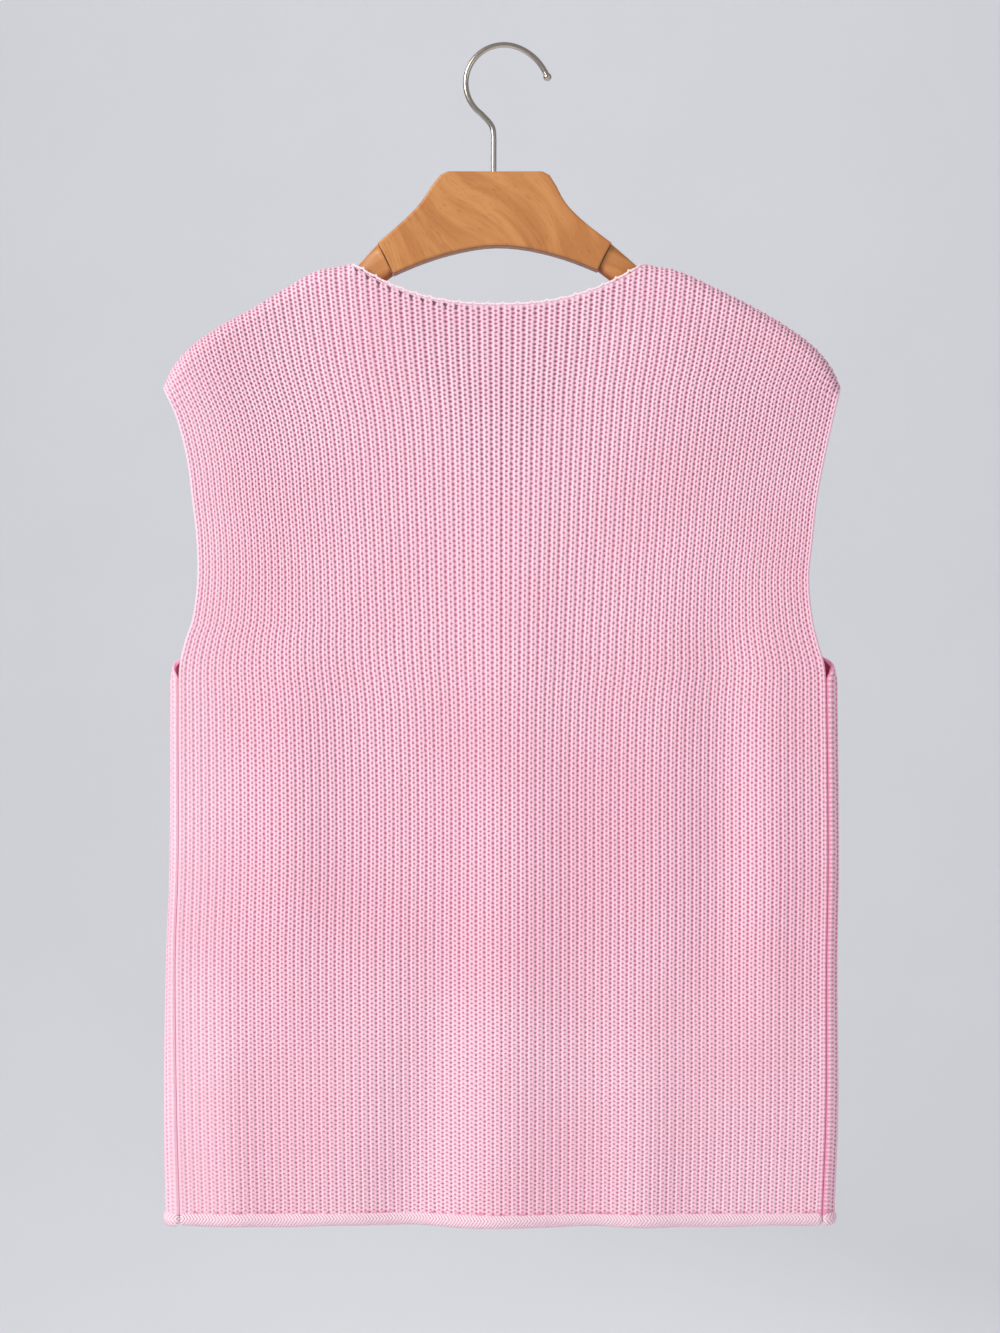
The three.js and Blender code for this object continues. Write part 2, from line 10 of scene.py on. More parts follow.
import bpy
import numpy as np
from bpy.props import FloatProperty, FloatVectorProperty, PointerProperty
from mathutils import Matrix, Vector


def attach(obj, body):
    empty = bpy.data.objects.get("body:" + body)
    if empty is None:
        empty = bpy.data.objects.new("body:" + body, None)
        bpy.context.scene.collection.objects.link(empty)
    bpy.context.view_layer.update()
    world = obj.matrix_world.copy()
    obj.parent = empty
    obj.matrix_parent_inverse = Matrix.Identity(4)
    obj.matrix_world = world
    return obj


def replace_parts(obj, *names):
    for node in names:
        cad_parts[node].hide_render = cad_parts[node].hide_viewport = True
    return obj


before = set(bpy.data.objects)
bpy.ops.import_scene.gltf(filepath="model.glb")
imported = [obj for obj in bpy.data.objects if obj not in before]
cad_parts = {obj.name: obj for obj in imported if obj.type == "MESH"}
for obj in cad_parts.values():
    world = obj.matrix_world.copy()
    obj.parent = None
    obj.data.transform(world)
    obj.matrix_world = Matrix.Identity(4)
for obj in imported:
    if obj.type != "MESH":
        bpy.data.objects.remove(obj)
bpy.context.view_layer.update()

bl_info = {
    "name": "Rib Knit Vest on a Hanger",
    "version": (1, 0, 0),
    "blender": (4, 5, 0),
    "location": "View3D > Sidebar > Vest",
    "description": "Knits the panels, bands and edge of a vest and makes the hanger that it hangs on",
    "category": "Add Mesh",
}

MM = 0.001
BODY = "root"
BACK = -1
FRONT = 1

# Cloth
SEAM_GAP = 0.3
WALL = 2.2
RIBS = 80
CENTRE_X = -1.5
HEM_DROP = 789.5
HEM_HEIGHT = 9.5
HEM_DEPTH = 5.2
HEM_TUCK = 2.0
HEM_WAVES = ((0.4, 23), (0.25, 9.5))
BAND_SLANT = 9.0
BAND_PRESS = 0.16
BAND_END = 2.5
NECK = SimpleNamespace(centre=-4, half_width=100.5, drop=148, back_depth=29, front_depth=94, power=2.4)
NECK_CORD = 2.4
NECK_AWAY = 1.2
LINK = SimpleNamespace(length=5, least=0.6, swell=0.2, knot=1.1, knot_width=0.8)
ROLL = 9
ROLL_MOST = 19
ARMHOLE = SimpleNamespace(open_drop=408, closed_drop=430, set_in=2.5, ease_above=90, ease_below=60)
LOWEST_END = 262
HALVINGS = 40

# Hanger
WOOD_DEPTH = 13
ARM_HEIGHT = 22
ARM_CLEARANCE = 0.9
WIRE = 3.8
BALL = 5.6
CROOK = SimpleNamespace(radius=26, open_radius=29.8, centre_drop=24, ball_angle=8, open_angle=70,
                        leave_angle=233)
STEM = SimpleNamespace(x=-7, bend_drop=58.5, plate_drop=84.5, depth=22)
STEM_BEND = {"x": (-2.4, -0.5, 0, 0, 0), "drop": (-7, -3, 2, 12, 25)}
JOINT = {"drop": 133.5, "left": (-75, 155), "right": (63.5, 152)}
HANGER_X = -4.5
ARM = {
    "reach": (92, 105, 125, 155, 180, 193, 200, 204),
    "half_height": (9.5, 9.8, 11, 11, 11, 10.2, 8, 4.6),
    "half_depth": (5.6, 5.8, 7, 7.8, 8.8, 8.8, 7.4, 4.4),
}
ARM_SQUARENESS = 2.4

# The line over which the cloth turns: the hanger's top, and the shoulders down to their tips
RIDGE = {
    "drop": (85, 109, 132, 148, 152.5, 164.5, 178.5, 192, 205.5, 219, 232.5),
    "left": (-43, -59, -84, -104.5, -126, -148, -171, -195, -213, -224.5, -230.5),
    "right": (31, 44, 71, 96.5, 117, 143.5, 171, 193.5, 211, 222, 228),
}

# Side edges of the panels, and how far the front reaches out as it goes round the side
SIDES = {
    "drop": (148, 171.5, 198.5, 219, 232.5, 253, 280.5, 307.5, 334.5, 362, 389, 404, 422, 443.5,
             552.5, 620.5, 722.5, 789.5),
    "left": (-255.5, -251, -243.5, -236.5, -230.5, -221.5, -214.5, -211, -208, -207.5, -211, -216,
             -220, -220.5, -220.5, -222.5, -221.5, -219.5),
    "right": (252.5, 248, 240.5, 233.5, 228, 223, 217, 212, 209, 206.5, 209, 212.5, 217.5, 218.5,
              219.5, 218.5, 218, 215.5),
    "turn_left": (5,) * 14 + (5.5, 6, 8.5, 9.5),
    "turn_right": (7,) * 16 + (8, 8),
}

# Half the distance between back and front, and how much wider the ribs are in the middle
FORM = {
    "drop": (148, 232.5, 362, 450, 620, 789.5),
    "middle": (9.6, 10, 9.5, 9, 9, 9.5),
    "side": (9.6, 8, 7.5, 7.5, 7.5, 8),
    "bell": (0.2, 0.2, 0.19, 0.05, 0.03, 0.03),
}
ARM_END = SimpleNamespace(x=200, drop=214, push=2.6, reach=38)

# Height of one row of stitches: the cloth's weight draws the upper rows out
ROWS = {
    "drop": (150, 214, 295, 377, 458, 540, 622, 703, 790),
    "height": (2.9, 3, 3.4, 3.62, 3.45, 3.16, 3, 2.98, 2.7),
}

# Soft folds: a line through three places, how far it stands out and its half width
FOLD = ("top_x", "top_drop", "mid_x", "low_x", "low_drop", "out", "width")
FOLDS = {
    BACK: (
        (13, 190, 9, 0, 800, 6, 32),
        (-36, 560, -50, -68, 800, -5, 26),
        (-138, 370, -146, -138, 690, 5, 28),
        (-190, 600, -189, -184, 800, 3.5, 18),
        (146, 340, 148, 142, 680, -5, 24),
        (178, 360, 182, 178, 740, 3.5, 20),
        (90, 600, 96, 92, 800, 3.8, 22),
    ),
    FRONT: (
        (-30, 300, -18, -6, 800, 4.6, 30),
        (38, 430, 50, 58, 800, -4.2, 26),
        (-112, 400, -104, -92, 720, -4, 26),
        (128, 360, 140, 146, 650, 3.8, 26),
        (-158, 350, -166, -160, 640, 3.4, 22),
    ),
}


def smoothstep(value, low, high):
    """An S curve from 0 at low to 1 at high, level at both ends."""
    share = np.clip((value - low) / (high - low), 0, 1)
    return share * share * (3 - 2 * share)


def read(table, by, at, column):
    """Smooth curve through one column of a table against another.

    Each stretch is a cubic whose end slopes are those of the chords across the neighbouring rows.
    """
    keys = np.array(table[by], float)
    order = np.argsort(keys)
    keys = keys[order]
    values = np.array(table[column], float)[order]
    before = np.maximum(np.arange(len(keys)) - 1, 0)
    after = np.minimum(np.arange(len(keys)) + 1, len(keys) - 1)
    slopes = (values[after] - values[before]) / (keys[after] - keys[before])
    low = np.clip(np.searchsorted(keys, at) - 1, 0, len(keys) - 2)
    run = keys[low + 1] - keys[low]
    u = np.clip((at - keys[low]) / run, 0, 1)
    bend = run * ((u**3 - 2 * u**2 + u) * slopes[low] + (u**3 - u**2) * slopes[low + 1])
    return values[low] + (3 * u**2 - 2 * u**3) * (values[low + 1] - values[low]) + bend


def ridge_drop(x):
    """Drop of the shoulder line at x, from the left or the right column of its table."""
    return np.where(x < CENTRE_X, read(RIDGE, "left", x, "drop"), read(RIDGE, "right", x, "drop"))


def roll_reach(x):
    """How far below the ridge the cloth is at its full depth: more where the ridge is steep."""
    rise = ridge_drop(x + 1) - ridge_drop(x - 1)
    return np.minimum(ROLL * np.hypot(1, rise / 2), ROLL_MOST)


def neck_drop(panel, x):
    """Drop of the neckline: its depth times one less the share of the half width to a power."""
    u = np.minimum(abs(x - NECK.centre) / NECK.half_width, 1)
    depth = NECK.back_depth if panel == BACK else NECK.front_depth
    return NECK.drop + depth * (1 - u**NECK.power)


def top_drop(panel, x):
    """Drop of a panel's upper edge: the neckline inside the neck, the ridge outside it."""
    return np.where(abs(x - NECK.centre) < NECK.half_width, neck_drop(panel, x), ridge_drop(x))


def half_depth(x, drop):
    """Distance of the wall's middle from the plane between the panels: less at the sides by the cube
    of the reach, and more in a round swelling over the end of each hanger arm."""
    middle = read(FORM, "drop", drop, "middle")
    side = read(FORM, "drop", drop, "side")
    reach = np.clip(abs(x - CENTRE_X) / read(SIDES, "drop", drop, "right"), 0, 1)
    away = np.hypot(abs(x - CENTRE_X) - ARM_END.x, drop - ARM_END.drop) / ARM_END.reach
    return middle + (side - middle) * reach**3 + ARM_END.push * np.exp(-(away**2))


def roll_share(x, drop):
    """Share of the full depth: a quarter circle over the ridge."""
    reach = roll_reach(x)
    up = np.clip((ridge_drop(x) + reach - drop) / reach, 0, 1)
    return np.sqrt(1 - up**2)


def fold_height(panel, x, drop):
    """Sum of the folds: each a bell across its bowed line, which swells and fades along it."""
    height = np.zeros(np.broadcast(x, drop).shape)
    for row in FOLDS[panel]:
        fold = SimpleNamespace(**dict(zip(FOLD, row)))
        rise = np.clip((drop - fold.top_drop) / (fold.low_drop - fold.top_drop), 0, 1)
        bow = fold.mid_x - (fold.top_x + fold.low_x) / 2
        line = fold.top_x + (fold.low_x - fold.top_x) * rise + 4 * bow * rise * (1 - rise)
        swell = np.sin(rise * np.pi / (2 if fold.low_drop > HEM_DROP else 1))
        height += fold.out * swell * np.exp(-(((x - line) / fold.width) ** 2))
    return height


def fan(t, bell):
    """Share of the half width at a rib place: a straight line mixed with the integral of (1-t^2)^3."""
    bulge = 35 / 16 * (t - t**3 + 3 * t**5 / 5 - t**7 / 7)
    return (1 - bell) * t + bell * bulge


def side_edge(t, drop):
    """Distance of the side edge from the middle, on the side that a rib place lies on."""
    edge = np.where(t < 0, read(SIDES, "drop", drop, "left"), read(SIDES, "drop", drop, "right"))
    return abs(edge - CENTRE_X)


def rib_x(t, drop):
    """Where a rib lies across the garment at a drop."""
    return CENTRE_X + side_edge(t, drop) * fan(t, read(FORM, "drop", drop, "bell"))


def panel_point(panel, t, drop):
    """Middle surface of a panel at rib place t and a drop: flat with folds, turned over the ridge by a
    quarter circle, and on the front taken round the side below the armhole on a half ellipse. The
    ribs give way for that by the cube of t, from further above the more inward they lie."""
    way = np.where(t < 0, -1, 1)
    closed = smoothstep(drop, ARMHOLE.open_drop, ARMHOLE.closed_drop)
    tip = RIDGE["drop"][-1]
    set_in = ARMHOLE.set_in * (1 - closed) * np.clip((drop - tip) / (LOWEST_END - tip), 0, 1)
    edge = side_edge(t, drop) - (set_in if panel == FRONT else SEAM_GAP * closed)
    turn = np.where(t < 0, read(SIDES, "drop", drop, "turn_left"), read(SIDES, "drop", drop, "turn_right"))
    depth = half_depth(CENTRE_X + way * edge, drop)
    turn_length = np.pi * np.hypot(turn, depth) / np.sqrt(2)
    wrap = closed if panel == FRONT else np.zeros_like(closed)
    near = abs(t) ** 8
    ease = ARMHOLE.open_drop - ARMHOLE.ease_above, ARMHOLE.closed_drop + ARMHOLE.ease_below
    eased = smoothstep(drop, *ease) * (panel == FRONT)
    give = turn_length * (wrap * near + eased * (1 - near)) * abs(t) ** 3
    run = edge * abs(fan(t, read(FORM, "drop", drop, "bell"))) + give
    wrapped = (wrap > 0) & (run > edge)
    angle = np.pi * (0.5 - (run - edge) / turn_length)
    x = CENTRE_X + way * np.where(wrapped, edge + turn * np.cos(angle), run)
    out = half_depth(x, drop) + fold_height(panel, x, drop) * (1 - (run / edge) ** 8)
    flat_y = panel * (out * roll_share(x, drop) + SEAM_GAP / 2)
    return np.stack((x, np.where(wrapped, depth * np.sin(angle), flat_y), -drop), axis=-1)


def rib_lines(panel, t):
    """Each rib's end at the shoulder or neckline, found by halving, and its length from the hem: the
    straight stretch and then the turn over the ridge, on the mean radius of its reach and depth."""
    low = np.full(t.shape, float(RIDGE["drop"][0]))
    high = np.full(t.shape, float(LOWEST_END))
    for _ in range(HALVINGS):
        middle = (low + high) / 2
        above = middle < top_drop(panel, rib_x(t, middle))
        low = np.where(above, middle, low)
        high = np.where(above, high, middle)
    end = (low + high) / 2
    x = rib_x(t, end)
    reach = roll_reach(x)
    up = np.clip((ridge_drop(x) + reach - end) / reach, 0, 1)
    radius = np.hypot(reach, half_depth(x, end)) / np.sqrt(2)
    straight = HEM_DROP - end - reach * up
    return SimpleNamespace(end=end, reach=reach, up=up, radius=radius, straight=straight,
                           length=straight + radius * np.arcsin(up))


def panel_surface(panel, t, share):
    """Middle surface of a panel, with the place along each rib as a share of the rib's length."""
    lines = rib_lines(panel, t)
    run = share * lines.length[:, None]
    angle = np.maximum(run - lines.straight[:, None], 0) / lines.radius[:, None]
    over = lines.end[:, None] + lines.reach[:, None] * (lines.up[:, None] - np.sin(angle))
    drop = np.where(angle > 0, over, HEM_DROP - run)
    return panel_point(panel, t[:, None] + 0 * share, drop)


def unit(vectors):
    """Vectors brought to length one."""
    return vectors / np.linalg.norm(vectors, axis=-1, keepdims=True)


def panel_frame(panel, t, share):
    """Points of a panel's middle surface, and outward normals from the cross product of the small
    steps across the ribs and along them."""
    across_step = 0.004
    along_step = 0.001
    point = panel_surface(panel, t, share)
    across = panel_surface(panel, t + across_step, share) - panel_surface(panel, t - across_step, share)
    above = panel_surface(panel, t, np.minimum(share + along_step, 1))
    below = panel_surface(panel, t, np.minimum(share + along_step, 1) - 2 * along_step)
    return point, unit(np.cross(across, above - below)) * -panel


def quads(low_left, low_right, high_right, high_left):
    """Two triangles for each four corners, given as arrays of the same shape."""
    first = np.stack((low_left, low_right, high_right), axis=-1).reshape(-1, 3)
    second = np.stack((low_left, high_right, high_left), axis=-1).reshape(-1, 3)
    return np.concatenate((first, second))


def grid_faces(ids):
    """Triangles between neighbouring entries of a grid of vertex numbers, without the flat ones where
    two corners are one vertex."""
    faces = quads(ids[:-1, :-1], ids[1:, :-1], ids[1:, 1:], ids[:-1, 1:])
    a, b, c = faces.T
    return faces[(a != b) & (b != c) & (c != a)]


def bridge(outer, outer_at, inner, inner_at):
    """Triangles between two rows of vertices at given places along one line: each outer edge fans to
    the inner vertex nearest to its middle, and each inner edge closes where the fans change."""
    middles = (outer_at[1:] + outer_at[:-1]) / 2
    near = np.searchsorted((inner_at[1:] + inner_at[:-1]) / 2, middles)
    turn = np.searchsorted(near, np.arange(1, len(inner)))
    fans = np.column_stack((outer[1:], outer[:-1], inner[near]))
    return np.concatenate((fans, np.column_stack((inner[:-1], inner[1:], outer[turn]))))


def inside_out(points, faces):
    """Whether the volume that the faces enclose comes out negative, so that they point inwards."""
    a, b, c = points[faces[:, 0]], points[faces[:, 1]], points[faces[:, 2]]
    return np.einsum("ij,ij->", a, np.cross(b, c)) < 0


def new_piece(name, points, faces, material, slot, corner_uv=None, sharp=None, **fields):
    """A mesh object from points in millimetres, with texture places for the corners of its faces and
    other values for its points. Edges between two points marked sharp keep a crease."""
    order = -1 if inside_out(points, faces) else 1
    turned = faces[:, ::order]
    mesh = bpy.data.meshes.new(name)
    mesh.from_pydata((points * MM).tolist(), [], turned.tolist())
    mesh.polygons.foreach_set("use_smooth", np.ones(len(turned), bool))
    if corner_uv is not None:
        layer = mesh.uv_layers.new(name="UVMap")
        layer.uv.foreach_set("vector", corner_uv[:, ::order].astype(np.float32).ravel())
    for field, values in fields.items():
        store = mesh.attributes.new(field, "FLOAT", "POINT")
        store.data.foreach_set("value", values.astype(np.float32).ravel())
    if sharp is not None:
        ends = np.empty(2 * len(mesh.edges), np.int32)
        mesh.edges.foreach_get("vertices", ends)
        crease = mesh.attributes.new("sharp_edge", "BOOLEAN", "EDGE")
        crease.data.foreach_set("value", sharp[ends.reshape(-1, 2)].all(axis=1))
    mesh.update()
    mesh.materials.append(material)
    piece = bpy.data.objects.new(name, mesh)
    bpy.context.scene.collection.objects.link(piece)
    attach(piece, BODY)
    return piece


# Stitches: the places in a rib that carry points, and how far an even mesh levels the ribs out
PHASES = np.array((0, 0.18, 0.34, 0.5, 0.66, 0.82))
LEVELLED = 0.55
UNEVENNESS = 0.05
INNER_ROWS = 81
FAR = 99
SEAM_SHARE = {"left": 0.25, "right": 1}

# Where a panel thins out to its upper edge, and how far it sinks there
BRINK = SimpleNamespace(reach=2.5, sink=0.35)

# Where the knit changes, as drops, distances in millimetres, rib places, and ribs from the side
CHANGE = SimpleNamespace(
    even=(330, 600), loose=(210, 400), narrow=(560, 740), shoulder=(100, 180), below_neck=(300, 350),
    gaping=(-40, -15), calm=(-1, -0.7), holes=(0.15, 0.6), first_row=(0.5, 2.5), rim=(0.15, 0.5),
    seam=(0.4, 0.7), whole=(0.05, 0.5), selvage=(0, 0.22))


def evenness(drop):
    """How far the ribs level out into an even mesh of holes, from the chest down."""
    return smoothstep(drop, *CHANGE.even)


def column_relief(u, v, even, knit):
    """Height of the knit at a rib count u and a row count v: deep valleys at whole u, shallow ones at
    the crests between them, and strands in the middle, each weighted by a power of cos(2 pi u).
    The dips deepen where a hole lies, at whole v in the valleys and half way between on the crests.
    Where the knit is even, the ribs stand out less."""
    rib = knit.rib_depth / MM * (1 - LEVELLED * even)
    wave = np.cos(2 * np.pi * u)
    row = np.cos(2 * np.pi * v)
    valley = np.maximum(wave, 0) ** 1.5
    crest = np.maximum(-wave, 0) ** 1.5
    hole = knit.hole_depth / MM
    dip = -0.5 * rib - hole * (1 + row) / 2
    top = 0.5 * rib
    return valley * dip + crest * (0.1 + hole * row / 2) + (1 - valley - crest) * top


def selvage(edge):
    """Height of the edge stitches at a distance from the brink in ribs: a soft round that drops."""
    return 0.3 - 0.8 * (1 - smoothstep(edge, *CHANGE.selvage)) ** 2


def row_counts(knit):
    """Heights above the hem, and the rows of stitches up to each: the running sum of one over the
    height of a row."""
    step = 0.5
    heights = np.arange(0, HEM_DROP, step)
    tall = read(ROWS, "drop", HEM_DROP - heights, "height") * knit.row_scale
    return heights - HEM_TUCK, np.cumsum(step / tall)


def outer_rows(lines, knit):
    """Places along each rib, two to a stitch, with the last one moved to the rib's end. Returns how
    many each rib has, their distances from the hem and their row counts."""
    heights, rows = row_counts(knit)
    count = np.rint(2 * np.interp(lines.length, heights, rows)).astype(int)
    steps = np.arange(count.max() + 1)
    run = np.where(steps < count[:, None], np.interp(steps / 2, rows, heights), lines.length[:, None])
    return count, run, np.interp(run, heights, rows)


def inner_rows(lines):
    """Distances from the hem of the plain inside's rows, closer together where the rib turns over."""
    level = np.linspace(0, 1, INNER_ROWS)
    level = 0.3 * level + 0.7 * np.sin(level * np.pi / 2)
    return level * (lines.length[:, None] + HEM_TUCK) - HEM_TUCK


def edge_fields(side, lines, t, run, edge, drop):
    """Values that the yarn's material reads: how open the holes are, how far the cloth is drawn out,
    most over the shoulders and in a V below the neck, how narrow it is near the hem, the distance
    from a neckline and how far the eyelets under it gape, the share of the light rim along an
    armhole, and the share of the seam, which shows more on the right."""
    to_end = lines.length[:, None] - run
    end_x = rib_x(t, lines.end)[:, None]
    aside = abs(end_x - NECK.centre)
    closed = smoothstep(drop, ARMHOLE.open_drop, ARMHOLE.closed_drop)
    near_edge = smoothstep(edge, *CHANGE.holes) * smoothstep(to_end, *CHANGE.first_row)
    calm = 0.5 + 0.5 * smoothstep(t[:, None], *CHANGE.calm)
    below_neck = 1 - smoothstep(1.9 * aside + drop, *CHANGE.below_neck)
    thin = np.maximum(smoothstep(aside, *CHANGE.shoulder), below_neck)
    return {
        "openness": calm * near_edge,
        "drawn_out": (1 - smoothstep(drop, *CHANGE.loose)) * (0.5 + 0.5 * thin),
        "narrow": smoothstep(drop, *CHANGE.narrow),
        "even": evenness(drop),
        "rest": np.where(aside < NECK.half_width, to_end, FAR),
        "gaping": 1 - 0.75 * smoothstep(end_x, *CHANGE.gaping) + 0 * drop,
        "rim": (1 - smoothstep(edge, *CHANGE.rim)) * (1 - closed),
        "seam": (1 - smoothstep(edge, *CHANGE.seam)) * closed * SEAM_SHARE[side],
        "inside": 0 * drop,
    }


def knit_half(panel, side, knit, material):
    """One half of a panel, as a closed shell: the stitched outside on a grid of ribs and rows that the
    neckline and shoulder cut off, a plain inside on a wider grid, and bridges round the border."""
    first = 0 if side == "left" else RIBS // 2
    ribs = (first + np.arange(RIBS // 2)[:, None] + PHASES).ravel()
    ribs = np.append(ribs, first + RIBS // 2)
    t = 2 * ribs / RIBS - 1
    lines = rib_lines(panel, t)
    count, run, v = outer_rows(lines, knit)
    point, normal = panel_frame(panel, t, run / lines.length[:, None])
    u = ribs[:, None] + 0 * v
    edge = np.minimum(u, RIBS - u)
    unevenness = np.random.default_rng(knit.seed + panel).normal(0, UNEVENNESS, v.shape)
    whole = smoothstep(edge, *CHANGE.whole)
    even = evenness(-point[..., 2])
    height = (column_relief(u, v, even, knit) + unevenness) * whole + selvage(edge) * (1 - whole)
    bound = smoothstep(lines.length[:, None] - run, 0, BRINK.reach)
    height = height * bound - BRINK.sink * (1 - bound)
    outer = point + normal * (WALL / 2 + height)[..., None]

    steps = np.arange(v.shape[1])
    kept = steps <= count[:, None]
    numbers = (np.cumsum(kept) - 1).reshape(kept.shape)
    outer_ids = np.take_along_axis(numbers, np.minimum(steps, count[:, None]), axis=1)

    plain = np.arange(0, len(t), len(PHASES))
    plain_run = inner_rows(SimpleNamespace(length=lines.length[plain]))
    plain_share = plain_run / lines.length[plain, None]
    plain_point, plain_normal = panel_frame(panel, t[plain], plain_share)
    inner = plain_point - plain_normal * (WALL / 2)
    inner_ids = kept.sum() + np.arange(plain_run.size).reshape(plain_run.shape)

    tops = outer_ids[:, -1]
    borders = [
        bridge(outer_ids[:, 0], ribs, inner_ids[:, 0], ribs[plain]),
        bridge(tops[::-1], -ribs[::-1], inner_ids[::-1, -1], -ribs[plain][::-1]),
    ]
    for column, order in ((-1, 1), (0, -1)):
        own = slice(0, count[column] + 1)
        borders.append(bridge(
            outer_ids[column, own][::order], order * run[column, own][::order],
            inner_ids[column][::order], order * plain_run[column][::order]))
    faces = np.concatenate([grid_faces(outer_ids), grid_faces(inner_ids)[:, ::-1], *borders])

    heights, rows = row_counts(knit)
    outer_uv = np.stack((u[kept], v[kept]), axis=-1)
    plain_u = ribs[plain, None] + 0 * plain_run
    inner_uv = np.stack((plain_u, np.interp(plain_run, heights, rows)), axis=-1).reshape(-1, 2)
    uv = np.concatenate((outer_uv, inner_uv))
    border = np.zeros(len(uv), bool)
    for ids in (outer_ids, inner_ids):
        border[np.concatenate((ids[0], ids[-1], ids[:, 0], ids[:, -1]))] = True
    # The inside points take most of the painted glow of light through the cloth.
    inside = {"openness": 0.5, "rest": FAR, "inside": 0.85}
    fields = {name: np.concatenate((values[kept], np.full(plain_run.size, inside.get(name, 0))))
              for name, values in edge_fields(side, lines, t, run, edge, -point[..., 2]).items()}
    name = f"{'back' if panel == BACK else 'front'}_knit_{side}"
    points = np.concatenate((outer[kept], inner.reshape(-1, 3)))
    return new_piece(name, points, faces, material, "knit", uv[faces], border, **fields)


def new_tube(name, rings, material, slot, places, closed=False, **fields):
    """A tube through rings of points, as one closed skin: it meets itself in a ring of rings, or its
    ends are closed to their middles. The grid of texture places has one more side than the rings, and
    one more ring where the tube is closed, so that the pattern doesn't run back across the join."""
    count, sides = rings.shape[:2]
    grid = np.arange(places.shape[0] * places.shape[1]).reshape(places.shape[:2])
    owner = (np.arange(places.shape[0])[:, None] % count * sides + np.arange(sides + 1) % sides).ravel()
    faces = grid_faces(grid)
    points = rings.reshape(-1, 3)
    corner_uv = places.reshape(-1, 2)[faces]
    faces = owner[faces]
    if not closed:
        poles = len(points) + np.arange(2)
        near = np.arange(sides)
        far = len(points) - sides + near
        first = np.column_stack((np.full(sides, poles[0]), np.roll(near, -1), near))
        last = np.column_stack((np.full(sides, poles[1]), far, np.roll(far, -1)))
        points = np.concatenate((points, rings[[0, -1]].mean(axis=1)))
        faces = np.concatenate((faces, first, last))
        ends = np.repeat(places[[0, -1], 0], sides, axis=0)[:, None]
        corner_uv = np.concatenate((corner_uv, np.repeat(ends, 3, axis=1)))
        fields = {field: np.append(values, values[[0, -1]]) for field, values in fields.items()}
    return new_piece(name, points, faces, material, slot, corner_uv, **fields)


def oval(centre, sideways, upwards, half_width, half_height, sides, squareness=2):
    """Rings about centres: half width times cos and half height times sin of the angle, each share to
    a power that squares the oval."""
    angle = 2 * np.pi * (np.arange(sides) + 0.5) / sides
    across = np.sign(np.cos(angle)) * abs(np.cos(angle)) ** (2 / squareness)
    upright = np.sign(np.sin(angle)) * abs(np.sin(angle)) ** (2 / squareness)
    width = np.asarray(half_width)[..., None, None] * across[:, None]
    height = np.asarray(half_height)[..., None, None] * upright[:, None]
    return centre[:, None] + width * sideways[:, None] + height * upwards[:, None]


def ring_places(lengths, sides, per_length, per_turn):
    """Texture places of a tube: counts along its length, and counts once round it."""
    along = np.repeat(np.asarray(lengths)[:, None] / per_length, sides + 1, axis=1)
    round_it = np.broadcast_to(np.arange(sides + 1) / sides * per_turn, along.shape)
    return np.stack((along, round_it), axis=-1)


def lengths_along(points):
    """Distance of each point from the first one, along the line through them."""
    return np.concatenate(([0], np.cumsum(np.linalg.norm(np.diff(points, axis=0), axis=1))))


class Shader:
    """A material's node tree, with short calls that add a node and link its inputs."""

    def __init__(self, name):
        self.material = bpy.data.materials.new(name)
        self.material.use_nodes = True
        self.tree = self.material.node_tree
        self.surface = self.tree.nodes["Principled BSDF"]

    def fill(self, target, inputs):
        """Links the inputs that are sockets and sets the others, with full cover for colours."""
        for key, value in inputs.items():
            socket = target.inputs[key]
            if isinstance(value, bpy.types.NodeSocket):
                self.tree.links.new(value, socket)
            elif socket.type == "RGBA":
                socket.default_value = (*value, 1.0)
            else:
                socket.default_value = value

    def add(self, kind, inputs, **settings):
        """A new node of a kind."""
        made = self.tree.nodes.new(f"ShaderNode{kind}")
        for key, value in settings.items():
            setattr(made, key, value)
        self.fill(made, inputs)
        return made

    def maths(self, operation, *values):
        """One sum, product or other operation on numbers."""
        return self.add("Math", dict(enumerate(values)), operation=operation).outputs[0]

    def plus(self, first, second):
        """The sum of two numbers."""
        return self.maths("ADD", first, second)

    def minus(self, first, second):
        """The first number less the second."""
        return self.maths("SUBTRACT", first, second)

    def times(self, first, second):
        """The product of two numbers."""
        return self.maths("MULTIPLY", first, second)

    def ramp(self, value, low, high, start=0.0, end=1.0):
        """An S curve from start at low to end at high."""
        inputs = {0: value, 1: low, 2: high, 3: start, 4: end}
        return self.add("MapRange", inputs, interpolation_type="SMOOTHSTEP").outputs[0]

    def blend(self, share, low, high):
        """A colour between two others."""
        made = self.add("Mix", {0: share, 6: low, 7: high}, data_type="RGBA")
        return made.outputs[2]

    def noise(self, vector, scale, detail=2.0, stretch=(1, 1, 1)):
        """Soft noise from 0 to 1 on a vector, drawn out by a share along each axis."""
        drawn = self.add("Mapping", {"Vector": vector, "Scale": stretch})
        inputs = {"Vector": drawn.outputs[0], "Scale": scale, "Detail": detail}
        return self.add("TexNoise", inputs).outputs["Fac"]

    def field(self, name):
        """A value stored at the points of the mesh."""
        return self.add("Attribute", {}, attribute_name=name).outputs["Fac"]

    def places(self):
        """Object coordinates, the outward direction, and texture coordinates, whole and in two numbers."""
        source = self.add("TexCoord", {}).outputs
        parts = self.add("SeparateXYZ", {0: source["UV"]}).outputs
        return SimpleNamespace(place=source["Object"], facing=source["Normal"], pattern=source["UV"],
                               u=parts[0], v=parts[1])

    def bump(self, height, distance, strength):
        """Raises the surface by a height, in metres at the most."""
        made = self.add("Bump", {"Height": height, "Distance": distance, "Strength": strength})
        self.fill(self.surface, {"Normal": made.outputs[0]})


def cell_distance(shader, value, start):
    """Distance from the nearest whole number, after a shift by start."""
    shifted = shader.maths("FRACT", shader.plus(value, start + 0.5))
    return shader.maths("ABSOLUTE", shader.minus(shifted, 0.5))


